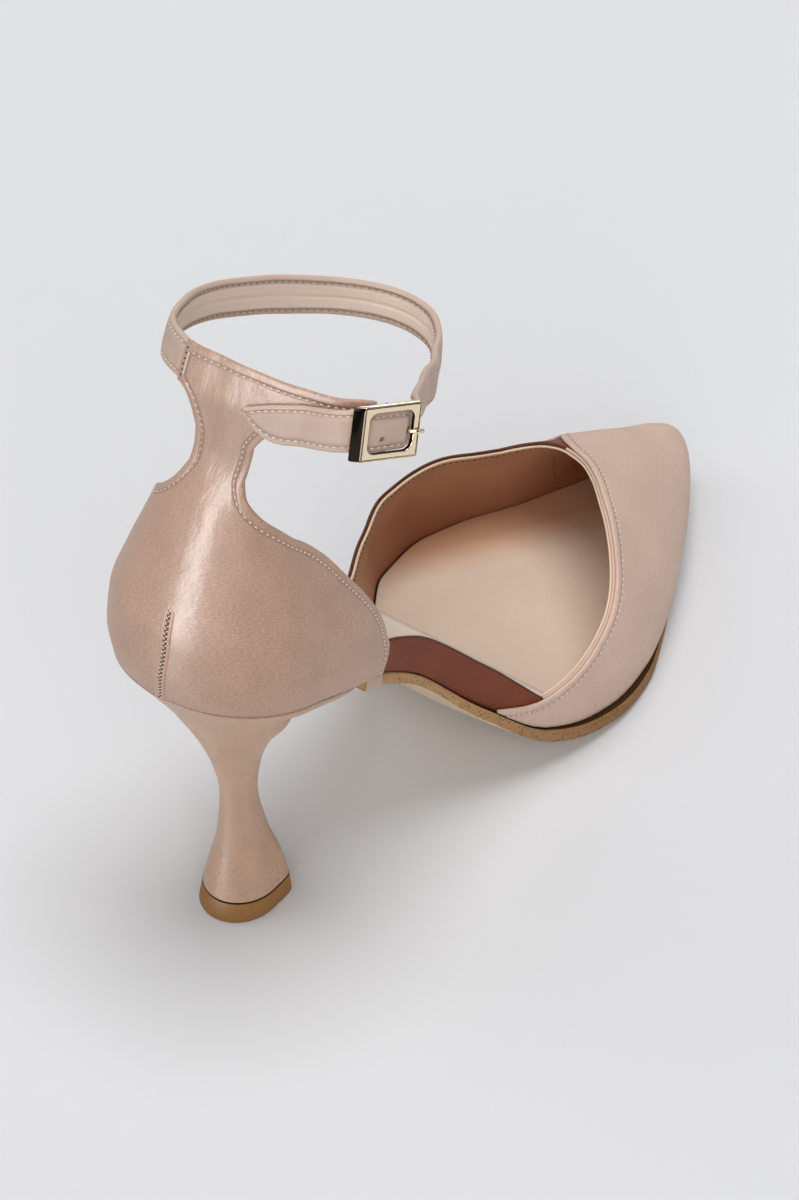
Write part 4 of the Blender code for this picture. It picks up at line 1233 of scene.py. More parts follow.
def painted_shade_tone(tree, tone, along, low, high, color):
    """Painted shade: a tone that darkens to a shaded colour away from an edge or along a
    direction.
    """
    if along:
        where = tree.add("ShaderNodeVectorMath", "DOT_PRODUCT", i0=tree.coordinates(),
                         i1=along).outputs["Value"]
    else:
        where = tree.attribute("edge")
    return tree.mix(tree.span(where, low, high, 0, 1), tone, (*color, 1))


def hide_material(name, color, roughness, grain=900.0, depth=0.00006, inset=0.0, dark=0.7,
                  mottle=0.06, pores=0.5, specular=0.35, painted_shade=None, speck=0.0):
    """Leather with grain; a seam's trough along its edge with painted shade in it, and, if asked,
    painted shade that darkens it away from that edge or along a direction.
    """
    material, shader, tree = new_material(name, roughness, specular=specular)
    out = use_group(tree, "Hide grain", Vector=tree.coordinates(), Scale=grain, Pores=pores)
    tone = tree.mottled(out["Mottle"], color, 1 - mottle, 1 + mottle)
    height = out["Height"]
    # Painted shade, away from the edge or along a direction
    if painted_shade:
        tone = painted_shade_tone(tree, tone, *painted_shade)
    if speck:
        fine = use_group(tree, "Satin weave", Vector=tree.coordinates(), Threads=1300.0,
                         Slubs=500.0, Folds=0.0)
        tone = tree.mix(tree.math("MULTIPLY", fine["Mottle"], speck), tone, shade(color, 0.45))
    if inset:
        tone, height = sewn(tree, tone, height, color, inset, 1 - dark, 4.0)
    dress(tree, shader, tone, height, depth)
    return material


def satin_material(name, color, roughness, inset=0.0):
    """Satin with a lustre that runs across its threads."""
    material, shader, tree = new_material(name, roughness, specular=0.7)
    for socket, value in (("Sheen Weight", 0.08), ("Sheen Roughness", 0.5),
                          ("Anisotropic", 0.65), ("Anisotropic Rotation", 0.25)):
        shader.inputs[socket].default_value = value
    out = use_group(tree, "Satin weave", Vector=tree.attribute("cloth", "Vector"), Threads=1.1)
    tone, height = tree.mottled(out["Mottle"], color, 0.76, 1.24), out["Height"]
    if inset:
        tone, height = sewn(tree, tone, height, color, inset, 0.35, 5.0)
    dress(tree, shader, tone, height, 0.00005)
    return material


def bonded_material(name, color, roughness, painted_shade):
    """Speckled edge of a bonded leather sole, with painted shade that darkens it along the shoe
    toward the toe.
    """
    material, shader, tree = new_material(name, roughness, specular=0.3)
    out = use_group(tree, "Bonded speckle", Vector=tree.coordinates(), Scale=2200.0, Amount=0.8)
    tone = painted_shade_tone(tree, tree.mottled(out["Mottle"], color, 0.85, 1.25), *painted_shade)
    tone = tree.mix(out["Dark"], tone, shade(color, 0.2))
    dress(tree, shader, tone, out["Height"], 0.00015)
    return material


def metal_material(name, color, roughness):
    """Polished plate with faint wear in its shine."""
    material, shader, tree = new_material(name, roughness, metallic=1.0)
    out = use_group(tree, "Hide grain", Vector=tree.coordinates(), Scale=700.0)
    worn = tree.span(out["Mottle"], 0, 1, roughness * 0.8, roughness * 1.5)
    tree.feed(shader.inputs["Roughness"], worn)
    shader.inputs["Base Color"].default_value = (*color[:3], 1)
    return material


def thread_material(name, color):
    """Spun thread, with its twist as a fine change of colour and height."""
    material, shader, tree = new_material(name, 0.6)
    out = use_group(tree, "Satin weave", Vector=tree.coordinates(), Threads=3000.0,
                    Slubs=900.0, Folds=0.0)
    dress(tree, shader, tree.mottled(out["Mottle"], color, 0.85, 1.1), out["Height"], 0.00004)
    return material


# ---- what a user would change ----

def colour(label, text, value):
    return bpy.props.FloatVectorProperty(name=label, description=text, subtype="COLOR", size=3,
                                         min=0, max=1, default=value)


def length(label, text, value):
    return bpy.props.FloatProperty(name=label, description=text, default=value * MM, min=0,
                                   unit="LENGTH", subtype="DISTANCE", precision=5)


class PumpColours(bpy.types.PropertyGroup):
    satin: colour("Satin", "Satin of the heel piece, its tab and its wings", (0.51, 0.31, 0.22))
    vamp: colour("Vamp", "Grained leather over the toes", (0.76, 0.545, 0.44))
    strap: colour("Strap", "Outer face of the ankle strap", (0.59, 0.435, 0.35))
    quarter: colour("Quarter", "Leather of both sides behind the vamp", (0.22, 0.053, 0.023))
    lining: colour("Lining", "Lining of the sides", (0.50, 0.26, 0.15))
    strap_lining: colour("Strap lining", "Inner face of the ankle strap", (0.84, 0.68, 0.56))
    lining_edge: colour("Lining edge", "Turned edge of the lining", (0.76, 0.58, 0.42))
    sock: colour("Sock", "Sock over the front of the insole", (0.72, 0.57, 0.455))
    # Pale partly as painted reflection of the sock's glazed shine
    heel_sock: colour("Heel sock", "Glazed sock over the back of the insole", (0.82, 0.74, 0.65))
    heel: colour("Heel", "Cover of the heel", (0.56, 0.35, 0.23))
    sole_edge: colour("Sole edge", "Bonded leather edge of the outsole", (0.44, 0.25, 0.11))
    sole: colour("Sole", "Underside of the outsole", (0.66, 0.50, 0.33))
    lift: colour("Top lift", "Rubber under the heel", (0.325, 0.15, 0.036))
    plate: colour("Buckle plate", "Plating of the buckle", (0.95, 0.78, 0.56))
    thread: colour("Thread", "Thread of every seam", (0.88, 0.72, 0.60))
    floor: colour("Floor", "Floor of the stage", (0.75, 0.755, 0.775))


class PumpSizes(bpy.types.PropertyGroup):
    pitch: length("Stitch pitch", "From one stitch to the next", 1.75)
    length: length("Stitch length", "Length of thread that shows", 1.3)
    thread: length("Thread width", "Width of the thread", 0.44)
    inset: length("Stitch inset", "From a folded edge to its seam", 1.7)
    strap_inset: length("Strap inset", "From the strap's edge to its seam", 1.35)


# ---- pieces ----

def colours():
    return bpy.context.scene.pump_colours


def sizes():
    return bpy.context.scene.pump_sizes


def rim_slots(sheet, sides, tab, throat):
    """Material of a rim at each point: along the sides, at the tab and at the throat."""
    run, height = sheet.cloth.T
    slots = np.full(len(run), sides)
    slots[(height > TAB_RIM) & (np.abs(run) < THROAT_CLOTH)] = tab
    slots[(run > THROAT_CLOTH) & (height < MEDIAL_CORNER)] = throat
    return slots


def bare_rise(cloth):
    """How much nearer the skin the medial side lies, between its overlays."""
    run, height = cloth.T
    return (BARE_RISE * ease(*BARE_BACK, -run) * (1 - ease(*BARE_FRONT, -run))
            * ease(*BARE_FOOT, height))


def on_lining(sheet, line, normals):
    """A line moved from the skin to the lining's face."""
    near = [((sheet.points - point) ** 2).sum(axis=1).argmin() for point in line]
    return line - normals * (LINING_FACE - bare_rise(sheet.cloth[near]))[:, None]


def thinned(sheet, depth, thickness, tab_depth, tab_thickness):
    """Depth and thickness of a layer at each point, thinner where the tab's layers are glued."""
    run, height = sheet.cloth.T
    share = ease(TAB_ROOT - TAB_BLEND, TAB_ROOT + TAB_BLEND, height) * (run < THROAT_CLOTH)
    depth = depth + (tab_depth - depth) * share - bare_rise(sheet.cloth)
    return depth, thickness + (tab_thickness - thickness) * share


def add_side(name, layer, materials, throat):
    """A layer of the sides: its faces, then rims along the sides, at the tab and at the throat."""
    sheet = Sheet(upper_grids())
    item = shell(name, sheet, *thinned(sheet, *layer), materials,
                 rim_slots(sheet, 2, 3, throat), RIM_REACH)
    finish(item, "tan_lining", "upper")


def add_overlay(name, sheet, outer, inner, slot, node):
    """A piece laid over the skin, with painted shadow on its rim where it meets the sole."""
    # Painted shadow: a near-black rim in the gap between the piece and the sole or heel.
    dark = hide_material(node + "_foot", shade(colours().lining, 0.2), 0.8)
    item = shell(name, sheet, 0, OVERLAY + OVERLAY_PROUD, (outer, inner, dark),
                 np.where(sheet.foot, 2, 0))
    finish(item, slot, node)


class PUMP_OT_quarter(bpy.types.Operator):
    """Leather sides behind the vamp"""
    bl_idname = "pump.quarter"
    bl_label = "Quarter"

    def execute(self, context):
        color = colours().quarter
        outer = hide_material("quarter_leather", color, 0.55, grain=1300.0, mottle=0.12,
                              specular=0.15, speck=0.25)
        bead = hide_material("quarter_edge", shade(color, 0.5), 0.5, specular=0.2)
        tab = hide_material("tab_edge", colours().satin, 0.5)
        turned = hide_material("throat_edge", shade(colours().vamp, 0.85), 0.6)
        add_side("quarter", QUARTER_LAYER, (outer, outer, bead, tab, turned), 4)
        return {"FINISHED"}


class PUMP_OT_lining(bpy.types.Operator):
    """Lining inside the sides, with its turned edge"""
    bl_idname = "pump.lining"
    bl_label = "Lining"

    def execute(self, context):
        color = colours().lining
        # Painted shade: the lining darkens from 12 to 32 mm away from its edge, deeper in the
        # shoe.
        painted_shade = (None, 12.0, 32.0, deeper(color, (0.6, 0.42, 0.32)))
        inside = hide_material("lining_leather", color, 0.55, grain=700.0, pores=0.3,
                               inset=LINING_SEAM, specular=0.25, painted_shade=painted_shade)
        bead = hide_material("lining_turned_edge", colours().lining_edge, 0.5, grain=700.0)
        tab = hide_material("tab_lining_edge", colours().satin, 0.5)
        add_side("lining", LINING_LAYER, (inside, inside, bead, tab), 2)
        return {"FINISHED"}


class PUMP_OT_counter(bpy.types.Operator):
    """Satin heel piece with its tab and wings"""
    bl_idname = "pump.counter"
    bl_label = "Counter"

    def execute(self, context):
        satin = satin_material("satin", colours().satin, 0.46, inset=sizes().inset / MM)
        back = hide_material("satin_backing", colours().satin, 0.7)
        add_overlay("counter_satin", Sheet(counter_grids()), satin, back, "blush_satin",
                    "counter")
        return {"FINISHED"}


class PUMP_OT_vamp(bpy.types.Operator):
    """Leather over the toes, folded at the throat"""
    bl_idname = "pump.vamp"
    bl_label = "Vamp"

    def execute(self, context):
        leather = hide_material("vamp_leather", colours().vamp, 0.6, grain=1100.0,
                                inset=sizes().inset / MM, depth=0.00009, mottle=0.07,
                                speck=0.3)
        add_overlay("vamp_leather", Sheet([toe_grid(True)]), leather, leather, "blush_leather",
                    "vamp")
        return {"FINISHED"}


def insole_top(x, shares):
    """Upper face of the insole: padded under the heel, falling at its edge."""
    pad = PAD_RISE * (1 - shares**2) * ease(*PAD_END, x)
    return sole_height(x) + GAP / 2 + INSOLE + pad - EDGE_FALL * shares**6


class PUMP_OT_insole(bpy.types.Operator):
    """Padded insole with its front and heel socks"""
    bl_idname = "pump.insole"
    bl_label = "Insole"

    def execute(self, context):
        lateral, medial = (offset_plan(side, lambda x: -INSOLE_INSET) for side in (True, False))
        self.add_insole(lateral, medial)
        lateral[:, 1] += HEEL_SOCK_NARROWING
        medial[:, 1] -= HEEL_SOCK_NARROWING
        self.add_heel_sock(lateral, medial)
        return {"FINISHED"}

    @staticmethod
    def add_insole(lateral, medial):
        # Painted shade: the sock turns darker and warmer toward the toe and the medial side, in
        # the shade under the vamp.
        painted_shade = deeper(colours().sock, (0.85, 0.62, 0.46))
        front = hide_material("sock_leather", colours().sock, 0.6, grain=600.0, mottle=0.05,
                              painted_shade=((1.0, 1.6, 0), 0.156, 0.178, painted_shade), speck=0.08)
        # Painted shadow: the insole's sides are near-black, in the gap against the lining.
        side = hide_material("sock_edge_painted_shadow", shade(colours().sock, 0.3), 0.7)
        end = SHOE_LENGTH - INSOLE_INSET - INSOLE_SHORT
        stations = np.concatenate((stations_between(INSOLE_INSET, HEEL_RADIUS, 14, False),
                                   np.linspace(HEEL_RADIUS, TOE_START, 100)[1:],
                                   stations_between(TOE_START, end, 14, True)[1:]))
        rings = plate_rings(stations, lateral, medial, insole_top, level_with(GAP / 2),
                            SOCK_ACROSS, INSOLE_ROUNDING)
        item = loft("insole_sock", rings, (front, side))
        finish(item, "beige_sock", "insole")

    @staticmethod
    def add_heel_sock(lateral, medial):
        # Glazed sock with real gloss, its pale colour partly painted reflection.
        glaze, shader, tree = new_material("heel_sock_glaze_and_painted_sheen", 0.22)
        creases = use_group(tree, "Hide grain", Vector=tree.coordinates(), Scale=260.0,
                            Pores=0.2, Folds=1.0)
        tone = tree.mottled(creases["Mottle"], colours().heel_sock, 0.94, 1.08)
        dress(tree, shader, tone, creases["Height"], 0.0002, 0.6)
        back = INSOLE_INSET + HEEL_SOCK_INSET
        stations = np.concatenate((stations_between(back, HEEL_RADIUS, 14, False),
                                   np.linspace(HEEL_RADIUS, HEEL_SOCK_FRONT, 60)[1:]))
        under, over = HEEL_SOCK_LAYER
        rings = plate_rings(stations, lateral, medial, lambda x, s: insole_top(x, s) + over,
                            lambda x, s: insole_top(x, s) + under, SOCK_ACROSS,
                            HEEL_SOCK_ROUNDING)
        item = loft("heel_sock", rings, (glaze,))
        finish(item, "beige_sock")


def sole_under(x, shares):
    """Underside of the outsole: flat in the middle, rising to its edge."""
    flat = read(SOLE_ROWS, 3, x)
    rim = sole_height(x) - SOLE_LEVEL - read(SOLE_ROWS, 2, x)
    low = min(read(SOLE_ROWS, 1, x), rim)
    rise = np.maximum(0, (np.abs(shares) - flat) / (1 - flat)) ** 2
    return low + (rim - low) * rise


class PUMP_OT_outsole(bpy.types.Operator):
    """Outsole with its bonded edge and pale underside"""
    bl_idname = "pump.outsole"
    bl_label = "Outsole"

    def execute(self, context):
        # Painted shade: the edge darkens toward the toe, where it lies in shade.
        painted_shade = deeper(colours().sole_edge, (0.7, 0.6, 0.5))
        edge = bonded_material("sole_edge", colours().sole_edge, 0.7,
                               ((1.0, 0, 0), 0.05, 0.10, painted_shade))
        cover = satin_material("waist_cover", colours().heel, 0.48)
        under = hide_material("sole_underside", colours().sole, 0.45, grain=500.0)
        # Painted shadow: a near-black strip on the sole's top, in the gap under the vamp's edge.
        groove = hide_material("sole_top_painted_shadow", shade(colours().sole_edge, 0.13), 0.9, specular=0.0)
        lateral, medial = (offset_plan(side, lambda x: read(SOLE_ROWS, 4, x))
                           for side in (True, False))
        tip = SHOE_LENGTH + SOLE_ROWS[-1][4]
        stations = np.concatenate((np.linspace(SOLE_ROWS[0][0], TOE_START, 110),
                                   stations_between(TOE_START, tip - SOLE_SHORT, 18, True)[1:]))
        rings = plate_rings(stations, lateral, medial, level_with(-SOLE_LEVEL), sole_under,
                            SOLE_ACROSS, SOLE_ROUNDING)
        face = SOLE_ACROSS + 1
        slot = np.zeros(rings.shape[1], int)
        slot[face + PLATE_ROUND:2 * face + PLATE_ROUND - 1] = 1
        # The top face takes the painted shadow
        slot[:face + 1] = 2
        picks = np.tile(slot, (len(stations) - 1, 1))
        picks[stations[:-1] < WAIST_END] += 3 * (slot == 0)
        picks[stations[:-1] < COUNTER_END] *= slot != 2
        item = loft("outsole_leather", rings, (edge, under, groove, cover), picks)
        finish(item, "tan_sole", "outsole")
        return {"FINISHED"}


class PUMP_OT_heel(bpy.types.Operator):
    """Covered heel and its top lift"""
    bl_idname = "pump.heel"
    bl_label = "Heel"

    def execute(self, context):
        cover = satin_material("heel_cover", colours().heel, 0.48)
        dark = hide_material("heel_foot", shade(colours().lift, 0.1), 0.9, specular=0.0)
        rings = self.heel_rings()
        turn = np.abs(np.linspace(-HEEL_CLOTH, HEEL_CLOTH, rings.shape[1]))
        cloth = np.stack((rings[:, :, 2], np.tile(turn, (len(rings), 1))), axis=-1)
        picks = np.zeros((len(rings) - 1, rings.shape[1]), int)
        picks[0] = 1
        item = loft("heel_cover", rings, (cover, dark), picks,
                    tip=(SEAT_MIDDLE, 0, sole_height(SEAT_MIDDLE) - GAP / 2),
                    foot=(HEEL_ROWS[0][2], 0, rings[0, 0, 2]), cloth=cloth)
        finish(item, "heel_cover", "heel")
        self.add_lift()
        return {"FINISHED"}

    @staticmethod
    def heel_rings():
        """Rings up the heel's wall, then in over its seat."""
        seat = sole_height(HEEL_RADIUS) - GAP / 2
        rows = (*HEEL_ROWS, (seat, 0.0, HEEL_RADIUS, HEEL_BREAST, SEAT_HALF_WIDTH, SEAT_POWER))
        foot = rows[0][0]
        levels = np.concatenate(((foot,), np.linspace(foot + HEEL_FOOT_BAND, HEEL_WAIST, 34),
                                 np.linspace(HEEL_WAIST, seat, 40)[1:]))
        rings = []
        for level in levels:
            row = [read(rows, column, level) for column in range(1, 6)]
            flare = max(0.0, (level - HEEL_FLARE) / (seat - HEEL_FLARE))
            rings.append(heel_ring(row, level, flare, ease(HEEL_TILT_START, seat, level)))
        top = rings[-1]
        middle = np.array((SEAT_MIDDLE, 0.0, 0.0))
        for scale, rise in SEAT_RINGS:
            ring = middle + (top - middle) * scale
            ring[:, 2] = sole_height(ring[:, 0]) - GAP / 2 + rise
            rings.append(ring)
        return np.array(rings)

    @staticmethod
    def add_lift():
        rubber = hide_material("lift_rubber", colours().lift, 0.5, grain=700.0, mottle=0.05)
        seat = hide_material("lift_glue", shade(colours().lift, 0.25), 0.8)
        low = heel_ring((LIFT_BACK, LIFT_MIDDLE, LIFT_FRONT, LIFT_WIDTH / 2, LIFT_POWER), 0, 0, 0)
        high = heel_ring(HEEL_ROWS[0][1:], LIFT_HEIGHT, 0, 0)
        middle = np.array((LIFT_MIDDLE, 0))
        rings = []
        for share, scale in LIFT_RINGS:
            ring = low + (high - low) * share
            ring[:, :2] = middle + (ring[:, :2] - middle) * scale
            rings.append(ring)
        picks = np.zeros((len(rings) - 1, len(low)), int)
        picks[-1] = 1
        item = loft("lift", rings, (rubber, seat), picks, tip=(LIFT_MIDDLE, 0, LIFT_HEIGHT),
                    foot=(LIFT_MIDDLE, 0, 0))
        finish(item, "tan_rubber", "top_lift")


def strap_ring(run):
    """Section of the strap: pillowed between its seams, rounded at its edges."""
    top, out, up, height = strap_frame(run)
    past = abs(run - BUCKLE_RUN)
    drop = BUCKLE_STRAP_DROP * (1 - float(ease(*DROP_REACH, past)))
    bow = BUCKLE_STRAP_BOW * (1 - float(ease(*BOW_REACH, past)))
    radius = STRAP_THICKNESS / 2
    span = height - 2 * radius
    seam = sizes().strap_inset / MM
    shares = np.linspace(0, 1, STRAP_COUNT + 1)
    from_edge = np.minimum(shares, 1 - shares) * span + radius
    dent = SEAM_DENT[0] * np.exp(-((from_edge - seam) / SEAM_DENT[1]) ** 2)
    pillow = PILLOW[0] * ease(seam, seam + PILLOW[1], from_edge) - dent
    crease = CREASE[0] * np.exp(-(((shares - 0.5) * span) / CREASE[1]) ** 2)
    inner_pillow = INNER_PILLOW[0] * ease(seam, seam + INNER_PILLOW[1], from_edge) - crease
    bend = np.linspace(0, math.pi, STRAP_ROUND + 2)[1:-1]
    down = radius + shares * span
    outer = np.column_stack((down, STRAP_THICKNESS + pillow))
    inner = np.column_stack((down[::-1], -inner_pillow[::-1]))
    low = np.column_stack((height - radius + radius * np.sin(bend),
                           radius + radius * np.cos(bend)))
    high = np.column_stack((radius - radius * np.sin(bend), radius - radius * np.cos(bend)))
    section = np.concatenate((outer, low, inner, high))
    across = (section[:, 0] / height - 0.5) * 2
    depth = section[:, 1] - bow * across**2
    return top + np.outer(depth, out) - np.outer(section[:, 0] + drop, up), section


class PUMP_OT_strap(bpy.types.Operator):
    """Ankle strap with its lining and punched holes"""
    bl_idname = "pump.strap"
    bl_label = "Ankle strap"

    def execute(self, context):
        seam = sizes().strap_inset / MM
        leather = hide_material("strap_leather", colours().strap, 0.58, grain=1500.0, inset=seam,
                                dark=0.8)
        lining = hide_material("strap_lining", colours().strap_lining, 0.5, grain=420.0,
                               depth=0.00022, pores=0.15, inset=seam, dark=0.6)
        edge = hide_material("strap_edge", shade(colours().strap, 1.06), 0.5)
        end = RING_LENGTH - MEDIAL_WING - 2 * GAP
        runs = np.concatenate((np.linspace(TAIL_END, TAIL_END + TAIL_SLANT, 18),
                               np.linspace(TAIL_END + TAIL_SLANT, STRAP_DENSE_END, 60)[1:],
                               np.linspace(STRAP_DENSE_END, end, 150)[1:]))
        rings, edges = [], []
        for run in runs:
            ring, section = strap_ring(run)
            down = section[:, 0]
            rings.append(ring)
            edges.append(np.minimum(np.minimum(down, down.max() - down),
                                    run - TAIL_END + TAIL_EDGE))
        count = STRAP_COUNT + 1
        slot = np.full(len(rings[0]), 2)
        slot[:count - 1] = 0
        slot[count + STRAP_ROUND:2 * count + STRAP_ROUND - 1] = 1
        picks = np.tile(slot, (len(runs) - 1, 1))
        item = loft("strap", rings, (leather, lining, edge), picks, edge=np.array(edges))
        self.punch(item)
        finish(item, "strap_leather", "ankle_strap")
        return {"FINISHED"}

    @staticmethod
    def punch(item):
        for distance, rise, radius in HOLES:
            deselect()
            bpy.ops.mesh.primitive_cylinder_add(vertices=24, radius=radius * MM, depth=9 * MM)
            punch = bpy.context.active_object
            punch.matrix_world = at_buckle(distance, rise - BUCKLE_STRAP_DROP, 2)
            apply_place(punch)
            cut_with(item, punch)


class PUMP_OT_buckle(bpy.types.Operator):
    """Buckle frame, its centre bar and its prong"""
    bl_idname = "pump.buckle"
    bl_label = "Buckle"

    def execute(self, context):
        plate = metal_material("pale_gold", colours().plate, 0.09)
        # Painted dark reflection: a near-black plate for faces that show dark reflections.
        dark = metal_material("plate_painted_dark_reflection", shade(colours().plate, 0.035), 0.12)
        item = self.add_frame(plate, dark)
        bar = add_rod("centre_bar", self.centre_bar_line(), CENTRE_BAR_RADIUS, at_buckle(), plate)
        set_active(item)
        bar.select_set(True)
        bpy.ops.object.join()
        finish(item, "pale_gold", "buckle_frame")
        prong = add_rod("prong", [(u, 0, w) for u, w in PRONG_LINE], PRONG_RADIUS,
                        at_buckle(rise=-BUCKLE_STRAP_DROP), plate)
        finish(prong, "pale_gold", "buckle_prong")
        return {"FINISHED"}

    def add_frame(self, plate, dark):
        """Rectangular frame with rounded corners, its outer end sloped; that slope and the
        window's inner walls take a near-black plate as painted dark reflection.
        """
        deselect()
        bpy.ops.mesh.primitive_plane_add(size=1)
        item = bpy.context.active_object
        item.name = "buckle"
        edit_all()
        bpy.ops.transform.resize(value=(BUCKLE_LENGTH * MM, BUCKLE_HEIGHT * MM, 1))
        bpy.ops.mesh.inset(thickness=BUCKLE_BAR * MM, depth=0)
        bpy.ops.mesh.delete(type="FACE")
        bpy.ops.mesh.select_all(action="SELECT")
        bpy.ops.mesh.extrude_region_move(
            TRANSFORM_OT_translate={"value": (0, 0, BUCKLE_DEPTH * MM)})
        end_edit()
        inner = ((BUCKLE_LENGTH - BUCKLE_BAR) / 2 * MM, (BUCKLE_HEIGHT - BUCKLE_BAR) / 2 * MM)
        self.weigh_corners(item.data, inner[0])
        apply_modifier(item, "BEVEL", limit_method="WEIGHT", width=CORNER_RADIUS * MM, segments=7)
        apply_modifier(item, "BEVEL", limit_method="ANGLE", angle_limit=math.radians(50),
                       width=EDGE_ROUNDING * MM, segments=4)
        set_materials(item, plate, dark)
        # Painted dark reflection on the sloped end and the window's inner walls
        for polygon in item.data.polygons:
            middle, normal = polygon.center, polygon.normal
            sloped = middle.x < -inner[0] and normal.x < -0.3
            inside = abs(middle.x) < inner[0] and abs(middle.y) < inner[1]
            painted_dark_face = sloped or (inside and abs(normal.z) < 0.5)
            polygon.material_index = int(painted_dark_face and normal.z > -0.3)
        bpy.ops.object.shade_smooth_by_angle(angle=math.radians(35))
        item.matrix_world = at_buckle(out=BUCKLE_LEVEL)
        apply_place(item)
        return item

    @staticmethod
    def weigh_corners(mesh, inner):
        """Weigh the upright edges for their rounding, and slope the outer end's wall."""
        weight = mesh.attributes.new("bevel_weight_edge", "FLOAT", "EDGE")
        for edge in mesh.edges:
            a, b = (mesh.vertices[k].co for k in edge.vertices)
            if abs(a.x - b.x) < 1e-6 and abs(a.y - b.y) < 1e-6:
                weight.data[edge.index].value = 1.0 if abs(a.x) < inner else OUTER_CORNER
        for vertex in mesh.vertices:
            if vertex.co.x < -inner and vertex.co.z < 1e-6:
                vertex.co.x -= BUCKLE_SLOPE * MM

    @staticmethod
    def centre_bar_line():
        """Line of the bar: down from the frame at one end, under the strap and up again."""
        reach = BUCKLE_HEIGHT / 2 - CENTRE_BAR_SHORT
        half = [(reach, BUCKLE_LEVEL + BUCKLE_DEPTH / 2)]
        half += [(reach - short, CENTRE_BAR_LEVEL + rise) for short, rise in CENTRE_BAR_BEND]
        return [(0, v, w) for v, w in half] + [(0, -v, w) for v, w in reversed(half)]


def add_rod(name, line, radius, at, material):
    """Round wire along a line, made a mesh in its place."""
    curve = bpy.data.curves.new(name, "CURVE")
    curve.dimensions = "3D"
    curve.bevel_depth = radius * MM
    curve.bevel_resolution = 4
    curve.use_fill_caps = True
    spline = curve.splines.new("POLY")
    spline.points.add(len(line) - 1)
    for point, target in zip(spline.points, line):
        point.co = (*(part * MM for part in target), 1)
    set_active(add_object(name, curve))
    bpy.ops.object.convert(target="MESH")
    item = bpy.context.active_object
    merge_close(item)
    set_materials(item, material)
    item.matrix_world = at
    apply_place(item)
    set_outward(item)
    item.data.shade_smooth()
    return item


class PUMP_OT_seams(bpy.types.Operator):
    """Rows of stitching on the satin, vamp, strap and lining, and marks at the wing's seam"""
    bl_idname = "pump.seams"
    bl_label = "Seams"

    def execute(self, context):
        thread = thread_material("thread", colours().thread)
        size = sizes()
        pitch, length, width = size.pitch / MM, size.length / MM, size.thread / MM
        for name, sheet, slot in (("counter_seams", Sheet(counter_grids()), "blush_satin"),
                                  ("vamp_seam", Sheet([toe_grid(True)]), "blush_leather")):
            rows = [self.away_from_wing(even_points(line, normals, pitch))
                    for line, normals in sheet.line_at(size.inset / MM) if len(line) > SHORT_LINE]
            add_stitches(name, rows, slot, thread, length, width)
        rows = [even_points(line, normals, pitch) for line, normals in self.strap_lines(size)]
        add_stitches("strap_seams", rows[:2], "strap_leather", thread, length, width)
        inside = thread_material("strap_inner_thread", colours().lining)
        add_stitches("strap_inner_seams", rows[2:], "strap_leather", inside, length, width)
        # Painted shade: near-black marks stand in for the shade in needle holes, in the lining's
        # seams and at the wing's seam.
        needle = hide_material("needle_hole_painted_shade", shade(colours().lining, 0.12), 0.8)
        rows = [even_points(line, normals, pitch) for line, normals in self.lining_lines()]
        add_stitches("lining_marks", rows, "tan_lining", needle, length * LINING_MARK, width)
        rows = [even_points(*self.wing_line(), WING_PITCH)]
        add_stitches("wing_marks", rows, "blush_satin", needle, WING_MARK, width)
        return {"FINISHED"}

    def away_from_wing(self, row):
        """The stitches of a row that don't run beside the seam of the medial wing."""
        seam = self.wing_line()[0][3:-3]
        near = np.linalg.norm(row[0][:, None] - seam[None], axis=-1).min(axis=1)
        return [part[near > WING_ROOM] for part in row]

    @staticmethod
    def wing_line():
        """Seam of the medial wing beside the strap."""
        heights = np.linspace(BAND_BOTTOM + WING_ENDS[0], BAND_TOP - WING_ENDS[1], 30)
        run = np.full(len(heights), WING_SEAM - MEDIAL_WING)
        out = ring_frame(run)[0]
        return band_point(run, heights) + out * MARK_RISE, out

    @staticmethod
    def lining_lines():
        """Seams on the lining's face: along its edge, and inside the medial side."""
        sheet = Sheet(upper_grids())
        for line, normals in sheet.line_at(LINING_SEAM):
            if len(line) > SHORT_LINE:
                yield on_lining(sheet, line, normals), -normals
        for seam in LINING_SEAMS:
            at = np.linspace(0, 1, 12)
            x, turn = (np.interp(at, np.linspace(0, 1, len(seam)), part)
                       for part in np.array(seam, float).T)
            line = section_point(x, turn)
            normals = unit(np.cross(section_point(x, turn + 0.5) - line,
                                    section_point(x + 0.2, turn) - line))
            yield line + normals * LINING_FACE, normals

    @staticmethod
    def strap_lines(size):
        """Both rows on each face of the strap."""
        seam = size.strap_inset / MM
        start, end = TAIL_END + STRAP_SEAM_ENDS[0], RING_LENGTH - MEDIAL_WING - STRAP_SEAM_ENDS[1]
        runs = np.linspace(start, end, 320)
        rings = [strap_ring(run) for run in runs]
        count = STRAP_COUNT + 1
        for first, side in ((0, 1), (count + STRAP_ROUND, -1)):
            for high in (True, False):
                line, normals = [], []
                for run, (ring, section) in zip(runs, rings):
                    want = seam if high else section[:, 0].max() - seam
                    down, at = section[first:first + count, 0], ring[first:first + count]
                    order = np.argsort(down)
                    line.append([np.interp(want, down[order], at[order, c]) for c in range(3)])
                    normals.append(strap_frame(run)[1] * side)
                yield np.array(line), np.array(normals)


